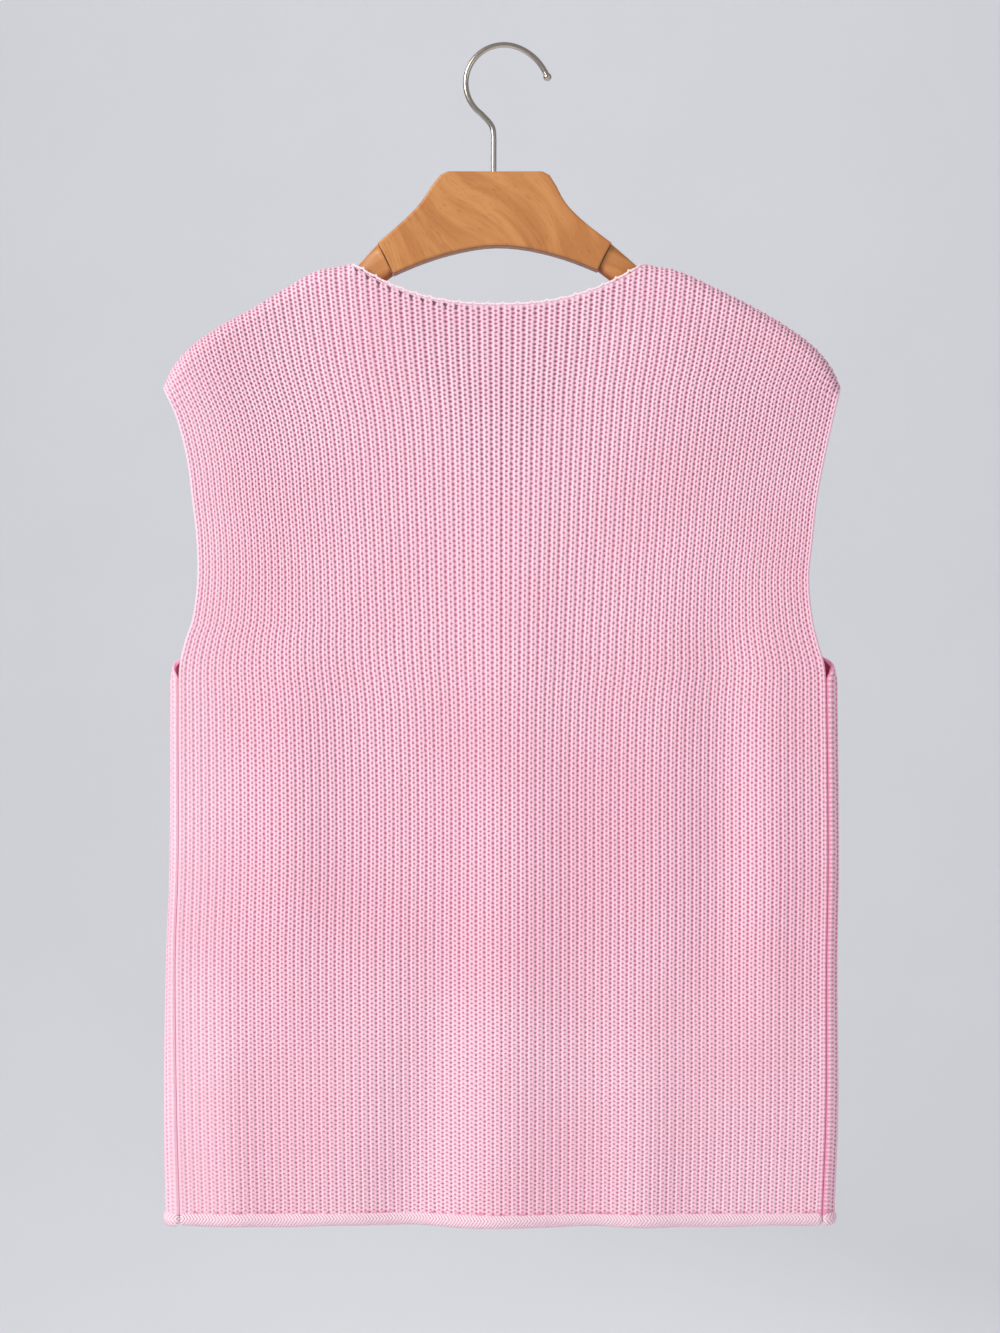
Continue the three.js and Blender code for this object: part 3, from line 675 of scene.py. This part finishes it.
def round_hole(shader, across, along, size):
    """A soft hole, 1 in its middle and 0 from one and a half times its size, at a distance that is the
    root of the sum of the squares of across and along, counted in rows."""
    square = shader.plus(shader.maths("POWER", across, 2.0), shader.maths("POWER", along, 2.0))
    away = shader.maths("DIVIDE", shader.maths("SQRT", square), size)
    return shader.ramp(away, 0.4, 1.5, 1.0, 0.0)


def flecked(shader, at, colour, knit):
    """The height of the yarn's fine fibres, and a colour with light flecks where they stand up."""
    fibre = shader.noise(at.place, 1400.0, 3.0)
    return fibre, shader.blend(shader.ramp(fibre, 0.35, 0.7, 0.0, 0.12), colour, knit.light)


def finish_yarn(shader, colour, knit):
    """The yarn's soft, dull surface, with a thin sheen of fibres."""
    shader.fill(shader.surface, {
        "Base Color": colour,
        "Roughness": 0.88,
        "Sheen Weight": knit.sheen,
        "Sheen Roughness": 0.45,
        "Sheen Tint": knit.light,
        "Specular IOR Level": 0.25,
    })


def knit_pattern(shader, u, v):
    """The pattern of rib knit on the rib and row counts: light strands that sway round holes in the
    valleys at whole rows and on the crests half way between. Where the cloth is drawn out, the holes
    are larger. Where it is narrow, those in the valleys are long slits and those on the crests arcs."""
    narrow = shader.field("narrow")
    across = cell_distance(shader, u, 0.0)
    to_crest = shader.minus(0.5, across)
    row = shader.maths("COSINE", shader.times(v, 2 * np.pi))
    middle = shader.plus(shader.times(row, 0.035), 0.26)
    beside = shader.maths("ABSOLUTE", shader.minus(across, middle))
    strand = shader.ramp(beside, 0.05, 0.24, 1.0, 0.0)
    strand = shader.maths("MAXIMUM", strand, shader.times(shader.field("even"), 0.45))

    size = shader.ramp(shader.field("drawn_out"), 0.0, 1.0, 0.19, 0.24)
    wide = shader.ramp(narrow, 0.0, 1.0, 1.7, 1.9)
    tall = shader.ramp(narrow, 0.0, 1.0, 1.0, 0.9)
    in_valley = shader.times(across, wide)
    on_row = shader.times(cell_distance(shader, v, 0.0), tall)
    bow = shader.times(narrow, 7.0)
    arc = shader.times(shader.maths("POWER", to_crest, 2.0), bow)
    off_row = cell_distance(shader, shader.plus(v, arc), 0.5)
    flat = shader.ramp(narrow, 0.0, 1.0, 1.0, 1.5)
    on_crest = shader.times(to_crest, shader.ramp(narrow, 0.0, 1.0, 1.7, 1.25))
    off_row = shader.times(off_row, flat)
    valley_hole = round_hole(shader, in_valley, on_row, size)
    crest_hole = round_hole(shader, on_crest, off_row, shader.times(size, 0.94))
    holes = shader.maths("MAXIMUM", valley_hole, shader.times(crest_hole, 0.9))
    long_row = shader.times(on_row, shader.ramp(narrow, 0.0, 1.0, 0.75, 1.05))
    valley_halo = round_hole(shader, in_valley, long_row, shader.ramp(narrow, 0.0, 1.0, 0.32, 0.27))
    crest_halo = round_hole(shader, on_crest, off_row, 0.3)
    halo = shader.maths("MAXIMUM", valley_halo, shader.times(crest_halo, 0.7))
    return SimpleNamespace(across=across, row=row, strand=strand, holes=holes, halo=halo)


def knit_material(knit):
    """Rib knit with its holes in pink halos. The holes are painted dark, painted shade that deepens where
    the cloth is drawn out. A light rim runs along the armholes and a deep line along the seams. A broken
    line of painted shade lies over the hem bands, and dark three-cornered eyelets of painted shade lie
    under the neckline."""
    shader = Shader("rib_knit")
    at = shader.places()
    openness = shader.field("openness")
    rest = shader.field("rest")
    sway = shader.noise(at.pattern, 0.8)
    drift = shader.noise(at.pattern, 0.55, stretch=(1.3, 0.7, 1))
    rib = shader.plus(at.u, shader.times(shader.minus(sway, 0.5), 0.2))
    row = shader.plus(at.v, shader.times(shader.minus(drift, 0.5), 0.7))
    knitted = knit_pattern(shader, rib, row)
    holes = shader.times(knitted.holes, openness)
    depth = shader.ramp(shader.field("even"), 0.0, 1.0, 0.6, 0.85)
    halo = shader.times(knitted.halo, shader.times(openness, depth))

    cloud = shader.ramp(shader.noise(at.place, 9.0, 2.0), 0.3, 0.7, 0.0, 0.35)
    light = shader.blend(cloud, knit.light, knit.middle)
    colour = shader.blend(knitted.strand, knit.middle, light)
    colour = shader.blend(halo, colour, knit.deep)
    # Painted shade in the holes and eyelets: dark colours, darker where the cloth is drawn out.
    gap = shader.blend(shader.field("drawn_out"), knit.hole, knit.eyelet)
    colour = shader.blend(shader.times(holes, 0.85), colour, gap)
    rim = shader.times(shader.field("rim"), 0.5)
    colour = shader.blend(rim, colour, knit.light)
    zigzag = shader.plus(knitted.across, shader.times(knitted.row, 0.12))
    seam = shader.times(shader.ramp(zigzag, 0.1, 0.3, 0.8, 0.0), shader.field("seam"))
    # Painted shade: a broken deep line along the lowest rows, where the panel meets the hem band; it joins
    # the seam line.
    broken = shader.ramp(drift, 0.45, 0.6, 0.1, 0.8)
    first_row = shader.times(shader.ramp(at.v, 0.7, 1.5, 1.0, 0.0), broken)
    seam = shader.maths("MAXIMUM", seam, first_row)
    colour = shader.blend(seam, colour, knit.deep)

    # Painted shade: dark three-cornered eyelets under the neckline.
    wedge = shader.times(shader.minus(rest, 1.2), 0.07)
    wedge = shader.plus(knitted.across, wedge)
    eyelet = shader.times(shader.ramp(wedge, 0.14, 0.28, 1.0, 0.0), shader.ramp(rest, 0.5, 1.0))
    eyelet = shader.times(eyelet, shader.field("gaping"))
    colour = shader.blend(eyelet, colour, knit.eyelet)
    fibre, colour = flecked(shader, at, colour, knit)
    # Painted glow: the inside takes the yarn's pink made saturated and brighter, for light coming through
    # the cloth.
    colour = shader.blend(shader.field("inside"), colour, knit.inner)

    height = shader.minus(knitted.strand, shader.times(holes, 0.9))
    height = shader.plus(height, shader.times(fibre, 0.35))
    shader.bump(height, 0.00045, 0.7)
    finish_yarn(shader, colour, knit)
    return shader.material


def band_material(knit):
    """Close knit of the rolled bands: slanting strands that meet in a row of arrows along the band's
    middle, with a fine dark gap between each pair."""
    shader = Shader("band_knit")
    at = shader.places()
    sway = shader.times(shader.noise(at.pattern, 0.35), 0.8)
    slant = shader.times(cell_distance(shader, at.v, 0.0), BAND_SLANT)
    arrows = shader.plus(shader.plus(at.u, slant), sway)
    gap = shader.ramp(cell_distance(shader, arrows, 0.0), 0.04, 0.3, 1.0, 0.0)
    counter = shader.plus(shader.minus(at.u, slant), sway)
    crossing = shader.ramp(cell_distance(shader, counter, 0.0), 0.08, 0.34, 1.0, 0.0)
    dots = shader.times(gap, crossing)
    colour = shader.blend(shader.times(gap, 0.6), knit.edge, knit.deep)
    colour = shader.blend(shader.times(dots, 0.6), colour, knit.deep)
    fibre, colour = flecked(shader, at, colour, knit)
    height = shader.minus(shader.times(fibre, 0.3), shader.plus(gap, dots))
    shader.bump(height, 0.0003, 0.7)
    finish_yarn(shader, colour, knit)
    return shader.material


def chain_material(knit):
    """Smooth light yarn of the neck edge, with a soft twist of fine dark lines."""
    shader = Shader("edge_yarn")
    at = shader.places()
    twist = cell_distance(shader, shader.plus(shader.times(at.u, 2.0), at.v), 0.0)
    line = shader.ramp(twist, 0.05, 0.25, 1.0, 0.0)
    fibre = flecked(shader, at, knit.edge, knit)[0]
    colour = shader.blend(shader.times(line, 0.3), knit.edge, knit.middle)
    height = shader.minus(shader.times(fibre, 0.4), line)
    shader.bump(height, 0.0002, 0.6)
    finish_yarn(shader, colour, knit)
    return shader.material


def wood_material(name, hanger, turn, offset):
    """Honey wood under a satin varnish: bands, streaks and pores drawn out along one direction, which
    is turned in the plane of the hanger and bent by slow noise. The underside is painted darker and
    redder in the colour of the dark grain: painted shade where the surface faces down."""
    shader = Shader(name)
    at = shader.places()
    bend = shader.add("TexNoise", {"Vector": at.place, "Scale": 9.0, "Detail": 1.0}).outputs["Color"]
    bent = shader.add("VectorMath", {0: bend, 1: (0.07,) * 3, 2: at.place}, operation="MULTIPLY_ADD")
    turned = shader.add("Mapping", {"Vector": bent.outputs[0], "Rotation": (0, turn, 0),
                                    "Location": (offset, 0, 0)})
    grained = turned.outputs[0]
    bands = shader.noise(grained, 50.0, 3.0, (0.2, 0.6, 1.6))
    streaks = shader.noise(grained, 420.0, 2.0, (0.06, 0.5, 1.2))
    pores = shader.noise(grained, 1500.0, 1.0, (0.07, 0.5, 1))
    band = shader.ramp(bands, 0.38, 0.64)
    colour = shader.blend(band, hanger.wood, hanger.wood_light)
    dark = shader.ramp(streaks, 0.5, 0.75, 0.0, 0.2)
    colour = shader.blend(dark, colour, hanger.grain_and_underside_shade)
    colour = shader.blend(shader.ramp(pores, 0.62, 0.75, 0.0, 0.4), colour, hanger.grain_and_underside_shade)
    # Painted shade: the wood turns darker and redder where its surface faces down, away from the light.
    upwards = shader.add("SeparateXYZ", {0: at.facing}).outputs[2]
    under = shader.ramp(upwards, -0.75, -0.25, 0.85, 0.0)
    colour = shader.blend(under, colour, hanger.grain_and_underside_shade)
    shader.bump(shader.plus(streaks, pores), 0.00008, 0.4)
    shader.fill(shader.surface, {
        "Base Color": colour,
        "Roughness": shader.ramp(streaks, 0.3, 0.7, 0.4, 0.52),
        "Specular IOR Level": 0.35,
        "Coat Weight": 0.08,
        "Coat Roughness": 0.3,
    })
    return shader.material


def steel_material(hanger):
    """Bright nickelled wire, with faint drawing lines along it and a slight warm cast."""
    shader = Shader("nickel_wire")
    at = shader.places()
    lines = shader.noise(at.pattern, 14.0, 2.0, (0.15, 6, 1))
    smudge = shader.noise(at.place, 60.0, 2.0)
    colour = shader.blend(smudge, hanger.steel, hanger.steel_warm)
    rough = shader.ramp(lines, 0.3, 0.7, 0.22, 0.3)
    shader.bump(lines, 0.00001, 0.2)
    shader.fill(shader.surface, {"Base Color": colour, "Metallic": 1.0, "Roughness": rough})
    return shader.material


def plain_material(name, colour, roughness):
    """A matt stage surface with a faint mottle."""
    shader = Shader(name)
    mottle = shader.ramp(shader.noise(shader.places().place, 3.0, 3.0), 0.3, 0.7, 0.0, 0.06)
    tone = shader.blend(mottle, colour, [0.8 * part for part in colour])
    shader.fill(shader.surface, {"Base Color": tone, "Roughness": roughness})
    return shader.material


def hem_band(panel, knit, material):
    """The rolled band at the foot of a panel: an oval carried along the hem, pressed in by arrows of
    slanting stitches, a little uneven in height, and rounded off at its ends."""
    sides = 20
    t = np.linspace(-1, 1, 801)
    point, normal = panel_frame(panel, t, np.zeros((len(t), 1)))
    point, normal = point[:, 0], normal[:, 0]
    up = np.zeros_like(point)
    up[:, 2] = 1
    length = lengths_along(point)
    (long, slow), (short, fast) = HEM_WAVES
    sag = long * np.sin(length / slow + panel) + short * np.sin(length / fast)
    to_end = np.minimum(length, length[-1] - length)
    full = np.sqrt(1 - (1 - np.clip(to_end / BAND_END, 0.12, 1)) ** 2)
    centre = point - up * (SEAM_GAP + HEM_HEIGHT / 2 + 0.5 * sag)[:, None]
    rings = oval(centre, normal, up, HEM_DEPTH / 2 * full, (HEM_HEIGHT + sag) / 2 * full, sides)
    stitches = length / (knit.band_stitch / MM)
    turn = (np.arange(sides) + 0.5) / sides
    slant = BAND_SLANT * np.minimum(turn, 1 - turn)
    press = BAND_PRESS * (1 + np.cos(2 * np.pi * (stitches[:, None] + slant)))
    rings = rings - unit(rings - centre[:, None]) * press[..., None]
    places = ring_places(stitches, sides, 1, 1)
    name = "hem_band_back" if panel == BACK else "hem_band_front"
    return new_tube(name, rings, material, "knit", places)


def neck_route():
    """The neckline once round: along the back and then the front, on the cosine of an angle, with
    the outward normals of the cloth at its edge, spaced evenly."""
    angle = np.pi * (np.arange(400) + 0.5) / 400
    points, normals = [], []
    for panel in (BACK, FRONT):
        x = NECK.centre + panel * NECK.half_width * np.cos(angle)
        drop = neck_drop(panel, x)
        share = roll_share(x, drop)
        depth = half_depth(x, drop)
        points.append(np.stack((x, panel * (depth * share + SEAM_GAP / 2), -drop), axis=-1))
        level = np.sqrt(1 - share**2) * depth
        normals.append(unit(np.stack((0 * x, panel * share * roll_reach(x), level), axis=-1)))
    points, normals = np.concatenate(points), np.concatenate(normals)
    looped = np.concatenate((points, points[:1]))
    length = lengths_along(looped)
    even = np.linspace(0, length[-1], 720, endpoint=False)
    route = np.stack([np.interp(even, length, looped[:, axis]) for axis in range(3)], axis=-1)
    turned = np.concatenate((normals, normals[:1]))
    facing = np.stack([np.interp(even, length, turned[:, axis]) for axis in range(3)], axis=-1)
    return route, unit(facing), even


def neck_chain(material):
    """The chain of yarn round the neckline: a cord that thickens with each link by the size of a sine,
    and stands up in a small knot on every second link."""
    sides = 10
    route, normal, length = neck_route()
    tangent = unit(np.roll(route, -1, axis=0) - np.roll(route, 1, axis=0))
    away = unit(np.cross(normal, tangent))
    swell = LINK.least + LINK.swell * abs(np.sin(np.pi * length / LINK.length))
    from_knot = length % (2 * LINK.length) - LINK.length
    knot = LINK.knot * np.exp(-((from_knot / LINK.knot_width) ** 2))
    centre = route + away * (NECK_AWAY + knot)[:, None]
    half = NECK_CORD / 2 * swell
    rings = oval(centre, normal, away, half, half + 0.4 * knot, sides)
    turns = np.append(length, length[-1] + length[1]) / LINK.length
    return new_tube("neck_chain", rings, material, "knit", ring_places(turns, sides, 1, 1), closed=True)


def hanger_arm(side, material):
    """An arm of the hanger: squared ovals from the slanting glued joint to a round thick end, inside
    the shoulder of the cloth and a fixed distance below it."""
    sides = 40
    way = -1 if side == "left" else 1
    x, drop = JOINT[side]
    foot = np.array((x, 0, -drop), float)
    head = np.array((float(read(RIDGE, "drop", JOINT["drop"], side)), 0, -JOINT["drop"]))
    joint_up = unit(head - foot)
    outward = np.array((-joint_up[2], 0, joint_up[0]))
    outward = outward * np.sign(outward[0]) * way
    depthwise = np.array((0.0, 1.0, 0.0))
    reach = np.concatenate((np.linspace(ARM["reach"][0], 190, 44), np.linspace(192, ARM["reach"][-1], 13)))
    at = HANGER_X + way * reach
    slope = (ridge_drop(at + 1) - ridge_drop(at - 1)) / 2
    below = (ARM_HEIGHT / 2 + WALL / 2 + ARM_CLEARANCE) * np.hypot(1, slope)
    centres = np.stack((at, 0 * at, -ridge_drop(at) - below), axis=-1)
    ups = unit(np.stack((slope, 0 * at, 1 + 0 * at), axis=-1))
    heights = read(ARM, "reach", reach, "half_height")
    depths = read(ARM, "reach", reach, "half_depth")
    arm = oval(centres, np.broadcast_to(depthwise, ups.shape), ups, depths, heights, sides, ARM_SQUARENESS)
    middle = ((head + foot) / 2 + outward * SEAM_GAP)[None]
    half = np.linalg.norm(head - foot) / 2
    joint = oval(middle, depthwise[None], joint_up[None], WOOD_DEPTH / 2, half, sides, ARM_SQUARENESS)
    share = np.linspace(0, 1, 7)[:-1, None, None]
    rings = np.concatenate((joint + (arm[:1] - joint) * share, arm))
    length = lengths_along(rings.mean(axis=1))
    places = ring_places(length, sides, ARM_HEIGHT, 1)
    return new_tube(f"hanger_arm_{side}_wood", rings, material, "wood", places)


def hook_route():
    """The wire's middle line: a round crook that opens a little towards its ball, on the cosine and
    sine of an angle, a bend, and a straight stem down into the wood."""
    angle = np.linspace(CROOK.ball_angle, CROOK.leave_angle, 120)
    opening = np.maximum(CROOK.open_angle - angle, 0) / (CROOK.open_angle - CROOK.ball_angle)
    radius = CROOK.radius + (CROOK.open_radius - CROOK.radius) * opening**2
    turn = np.radians(angle)
    crook = np.stack((radius * np.cos(turn), 0 * turn, radius * np.sin(turn) - CROOK.centre_drop), axis=-1)
    bend_x = STEM.x + np.array(STEM_BEND["x"])
    bend_z = -STEM.bend_drop - np.array(STEM_BEND["drop"])
    foot_z = -STEM.plate_drop - STEM.depth + SEAM_GAP
    guide = np.concatenate((crook[::12], crook[-1:], np.stack((bend_x, 0 * bend_x, bend_z), axis=-1),
                            [[STEM.x, 0, foot_z]]))
    way = lengths_along(guide)
    table = {"way": way, "x": guide[:, 0], "z": guide[:, 2]}
    fine = np.linspace(way[10], way[-1], 90)[1:]
    stem = np.stack((read(table, "way", fine, "x"), 0 * fine, read(table, "way", fine, "z")), axis=-1)
    return np.concatenate((crook, stem))


def hook(material):
    """The hook: a circle carried along the wire, which swells to a ball at its end by the square root
    of the ball's radius squared less the distance from its middle squared."""
    sides = 24
    route = hook_route()
    length = lengths_along(route)
    ball = BALL / 2
    before = np.linspace(-0.995 * ball, 0, 12)[:-1]
    start = unit(route[1] - route[0])
    near = np.linspace(0, 1.3 * ball, 14)[1:]
    rest = length > near[-1]
    lead = np.concatenate((before, [0], near))
    route = np.concatenate((route[0] + start * lead[:, None], route[rest]))
    at = np.concatenate((lead, length[rest]))
    round_end = np.sqrt(np.maximum(ball**2 - at**2, 0))
    radius = np.where(at > 0, np.maximum(round_end, WIRE / 2), round_end)
    tangent = unit(np.gradient(route, axis=0))
    depthwise = np.broadcast_to(np.array((0.0, 1.0, 0.0)), route.shape)
    rings = oval(route, depthwise, np.cross(tangent, depthwise), radius, radius, sides)
    return new_tube("hanger_hook_wire", rings, material, "steel", ring_places(at, sides, WIRE, 1))


def backdrop(material):
    """The floor and the wall behind as one smooth sweep: a line, a quarter circle and a line, carried
    sideways, in metres."""
    floor_z, wall_y, wall_top, reach, bend = -1.9, 5.0, 9.0, 40.0, 2.0
    turn = np.linspace(0, np.pi / 2, 25)
    y = np.concatenate(([-reach], wall_y - bend + bend * np.sin(turn), [wall_y]))
    z = np.concatenate(([floor_z], floor_z + bend - bend * np.cos(turn), [wall_top]))
    points = np.array([np.stack((np.full(y.shape, x), y, z), axis=-1) for x in (-reach, reach)])
    ids = np.arange(points.size // 3).reshape(points.shape[:2])
    mesh = bpy.data.meshes.new("floor_and_backdrop")
    mesh.from_pydata(points.reshape(-1, 3).tolist(), [], grid_faces(ids).tolist())
    mesh.polygons.foreach_set("use_smooth", np.ones(len(mesh.polygons), bool))
    mesh.materials.append(material)
    surface = bpy.data.objects.new("floor_and_backdrop", mesh)
    return surface


def soft_light(name, place, target, size, power, colour):
    """A square area light at a place in metres, turned to face a target."""
    lamp = bpy.data.lights.new(name, "AREA")
    lamp.shape = "RECTANGLE"
    lamp.size, lamp.size_y = size
    lamp.energy = power
    lamp.color = colour
    holder = bpy.data.objects.new(name, lamp)
    holder.location = place
    holder.rotation_euler = (Vector(target) - Vector(place)).to_track_quat("-Z", "Y").to_euler()
    bpy.context.scene.collection.objects.link(holder)
    return holder


class KnitSettings(bpy.types.PropertyGroup):
    """Sizes and colours of the knitted pieces."""

    rib_depth: FloatProperty(name="Rib depth", description="Height of a rib's strands over its valleys",
                             default=0.0007, min=0, max=0.0015, unit="LENGTH", precision=4)
    hole_depth: FloatProperty(name="Hole depth", description="How far a hole dips below its column",
                              default=0.0005, min=0, max=0.0008, unit="LENGTH", precision=4)
    row_scale: FloatProperty(name="Row scale", description="Height of a row of stitches over the usual",
                             default=1.0, min=0.9, max=1.2, subtype="FACTOR")
    band_stitch: FloatProperty(name="Band stitch", description="Length of one stitch along the hem bands",
                               default=0.0022, min=0.0015, max=0.004, unit="LENGTH", precision=4)
    seed: bpy.props.IntProperty(name="Seed", description="Start of the small unevenness of the stitches",
                                default=7, min=1)
    sheen: FloatProperty(name="Sheen", description="Share of soft light that the fibres throw back",
                         default=0.3, min=0, max=1, subtype="FACTOR")
    light: FloatVectorProperty(name="Light yarn", description="Colour of the strands",
                               default=(0.96, 0.685, 0.785), size=3, min=0, max=1, subtype="COLOR")
    middle: FloatVectorProperty(name="Middle yarn", description="Colour between the strands",
                                default=(0.93, 0.47, 0.58), size=3, min=0, max=1, subtype="COLOR")
    deep: FloatVectorProperty(name="Deep yarn", description="Colour round the holes",
                              default=(0.76, 0.19, 0.34), size=3, min=0, max=1, subtype="COLOR")
    # Painted shade seen in the holes between stitches.
    hole: FloatVectorProperty(name="Holes", description="Colour in the holes between stitches",
                              default=(0.4, 0.08, 0.15), size=3, min=0, max=1, subtype="COLOR")
    # Painted shade seen in the eyelets under the neck edge.
    eyelet: FloatVectorProperty(name="Eyelets", description="Colour in the gaps under the neck edge",
                                default=(0.13, 0.06, 0.09), size=3, min=0, max=1, subtype="COLOR")
    # The yarn's pink made saturated and brighter for the inside: a painted glow of light through the cloth.
    inner: FloatVectorProperty(name="Inner yarn", description="Colour of the inside and of the seams",
                               default=(0.95, 0.2, 0.42), size=3, min=0, max=1, subtype="COLOR")
    edge: FloatVectorProperty(name="Neck yarn", description="Colour of the neck edge",
                              default=(0.96, 0.78, 0.84), size=3, min=0, max=1, subtype="COLOR")


class HangerSettings(bpy.types.PropertyGroup):
    """Colours of the hanger."""

    wood: FloatVectorProperty(name="Wood", description="Main colour of the wood",
                              default=(0.49, 0.19, 0.055), size=3, min=0, max=1, subtype="COLOR")
    wood_light: FloatVectorProperty(name="Light wood", description="Colour of the lighter bands",
                                    default=(0.6, 0.265, 0.088), size=3, min=0, max=1, subtype="COLOR")
    # Colour of the dark streaks and pores, and of the painted shade on the wood's underside.
    grain_and_underside_shade: FloatVectorProperty(name="Dark grain", description="Colour of the streaks and pores",
                                   default=(0.23, 0.07, 0.016), size=3, min=0, max=1, subtype="COLOR")
    steel: FloatVectorProperty(name="Wire", description="Colour of the nickelled wire",
                               default=(0.52, 0.47, 0.41), size=3, min=0, max=1, subtype="COLOR")
    steel_warm: FloatVectorProperty(name="Warm wire", description="Colour where the nickel is worn",
                                    default=(0.42, 0.37, 0.31), size=3, min=0, max=1, subtype="COLOR")


class StageSettings(bpy.types.PropertyGroup):
    """Light, backdrop and camera."""

    wall: FloatVectorProperty(name="Backdrop", description="Colour of the backdrop and floor",
                              default=(0.72, 0.73, 0.76), size=3, min=0, max=1, subtype="COLOR")
    key_power: FloatProperty(name="Key light", description="Power of the soft light at the upper left",
                             default=81.0, min=0, unit="POWER")
    fill_power: FloatProperty(name="Fill light", description="Power of the soft light at the right",
                              default=9.0, min=0, unit="POWER")
    back_power: FloatProperty(name="Back light", description="Power of the light behind the garment",
                              default=55.0, min=0, unit="POWER")
    wash_power: FloatProperty(name="Backdrop light", description="Power of the light on the backdrop alone",
                              default=175.0, min=0, unit="POWER")
    daylight: FloatProperty(name="Daylight", description="Strength of the light from all round",
                            default=0.4, min=0)
    distance: FloatProperty(name="Camera distance", description="From the lens to the garment",
                            default=1.6, min=1, unit="LENGTH")
    frame_height: FloatProperty(name="Frame height", description="Height of the picture at the garment",
                                default=0.9064, min=0.5, unit="LENGTH")


class VestOperator(bpy.types.Operator):
    """Base of the operators, each of which makes one group of pieces."""

    bl_options = {"REGISTER", "UNDO"}

    @classmethod
    def poll(cls, context):
        return context.scene is not None


class VEST_OT_stage(VestOperator):
    """Sets the camera, the lights, the floor and the backdrop"""

    bl_idname = "vest.stage"
    bl_label = "Stage"

    def execute(self, context):
        stage = context.scene.vest_stage
        middle = Vector((-0.0027, 0, -0.4207))
        camera = bpy.data.cameras.new("camera")
        camera.sensor_width = 36
        camera.lens = camera.sensor_width * stage.distance / stage.frame_height
        holder = bpy.data.objects.new("camera", camera)
        holder.location = middle + Vector((0, -stage.distance, 0))
        holder.rotation_euler = (np.pi / 2, 0, 0)
        context.scene.collection.objects.link(holder)
        context.scene.camera = holder
        context.scene.view_settings.view_transform = "Standard"

        surfaces = bpy.data.collections.new("stage_surfaces")
        context.scene.collection.children.link(surfaces)
        surfaces.objects.link(backdrop(plain_material("backdrop", stage.wall, 0.9)))
        soft_light("key", (-2.0, -1.7, 0.9), middle, (1.7, 1.7), stage.key_power, (1, 0.985, 0.96))
        soft_light("fill", (1.9, -1.8, -0.3), middle, (1.4, 1.4), stage.fill_power, (0.96, 0.97, 1))
        behind = soft_light("behind", (1.3, 2.4, 0.7), middle, (1.6, 1.6), stage.back_power,
                            (1, 0.99, 0.97))
        behind.visible_glossy = False
        wall = Vector((0, 5, -0.4))
        wash = soft_light("wall_wash", (0, -1.5, 3.5), wall, (3, 3), stage.wash_power, (1, 1, 1))
        wash.light_linking.receiver_collection = surfaces

        world = bpy.data.worlds.new("daylight")
        world.use_nodes = True
        sky = world.node_tree.nodes["Background"]
        sky.inputs["Color"].default_value = (0.95, 0.96, 1, 1)
        sky.inputs["Strength"].default_value = stage.daylight
        context.scene.world = world
        return {"FINISHED"}


class VEST_OT_panels(VestOperator):
    """Knits the back and the front, each in two halves that meet in a valley"""

    bl_idname = "vest.panels"
    bl_label = "Knitted panels"

    def execute(self, context):
        knit = context.scene.vest_knit
        material = knit_material(knit)
        for panel, node in ((BACK, "back"), (FRONT, "front")):
            for side in ("left", "right"):
                half = knit_half(panel, side, knit, material)
                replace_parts(half, node)
        return {"FINISHED"}


class VEST_OT_bands(VestOperator):
    """Makes the rolled bands at the hem and the chain round the neckline"""

    bl_idname = "vest.bands"
    bl_label = "Hem bands and neck edge"

    def execute(self, context):
        knit = context.scene.vest_knit
        material = band_material(knit)
        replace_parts(hem_band(BACK, knit, material), "hem_back")
        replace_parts(hem_band(FRONT, knit, material), "hem_front")
        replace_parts(neck_chain(chain_material(knit)), "neck_edge")
        return {"FINISHED"}


class VEST_OT_hanger(VestOperator):
    """Gives the middle of the hanger its wood, and makes its arms and hook"""

    bl_idname = "vest.hanger"
    bl_label = "Hanger"

    def execute(self, context):
        hanger = context.scene.vest_hanger
        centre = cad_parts["hanger_centre"]
        centre.data.materials.clear()
        centre.data.materials.append(wood_material("centre_wood", hanger, -1.05, 0.0))
        for side, turn, offset in (("left", 0.35, 3.0), ("right", -0.6, 7.0)):
            arm = hanger_arm(side, wood_material(f"arm_wood_{side}", hanger, turn, offset))
            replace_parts(arm, f"hanger_arm_{side}")
        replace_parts(hook(steel_material(hanger)), "hanger_hook")
        return {"FINISHED"}


class VEST_PT_pieces(bpy.types.Panel):
    """Lists the pieces and their settings in the sidebar"""

    bl_label = "Vest"
    bl_idname = "VEST_PT_pieces"
    bl_space_type = "VIEW_3D"
    bl_region_type = "UI"
    bl_category = "Vest"

    def draw(self, context):
        scene = context.scene
        for settings, operators in (
            (scene.vest_stage, (VEST_OT_stage,)),
            (scene.vest_knit, (VEST_OT_panels, VEST_OT_bands)),
            (scene.vest_hanger, (VEST_OT_hanger,)),
        ):
            box = self.layout.box()
            for operator in operators:
                box.operator(operator.bl_idname)
            for name in type(settings).__annotations__:
                box.prop(settings, name)


CLASSES = (KnitSettings, HangerSettings, StageSettings, VEST_OT_stage, VEST_OT_panels, VEST_OT_bands,
           VEST_OT_hanger, VEST_PT_pieces)


def register():
    for made in CLASSES:
        bpy.utils.register_class(made)
    bpy.types.Scene.vest_knit = PointerProperty(type=KnitSettings)
    bpy.types.Scene.vest_hanger = PointerProperty(type=HangerSettings)
    bpy.types.Scene.vest_stage = PointerProperty(type=StageSettings)


def unregister():
    for name in ("vest_knit", "vest_hanger", "vest_stage"):
        delattr(bpy.types.Scene, name)
    for made in reversed(CLASSES):
        bpy.utils.unregister_class(made)


def main():
    """Makes everything in order."""
    register()
    bpy.ops.vest.stage()
    bpy.ops.vest.panels()
    bpy.ops.vest.bands()
    bpy.ops.vest.hanger()


if __name__ == "__main__":
    main()
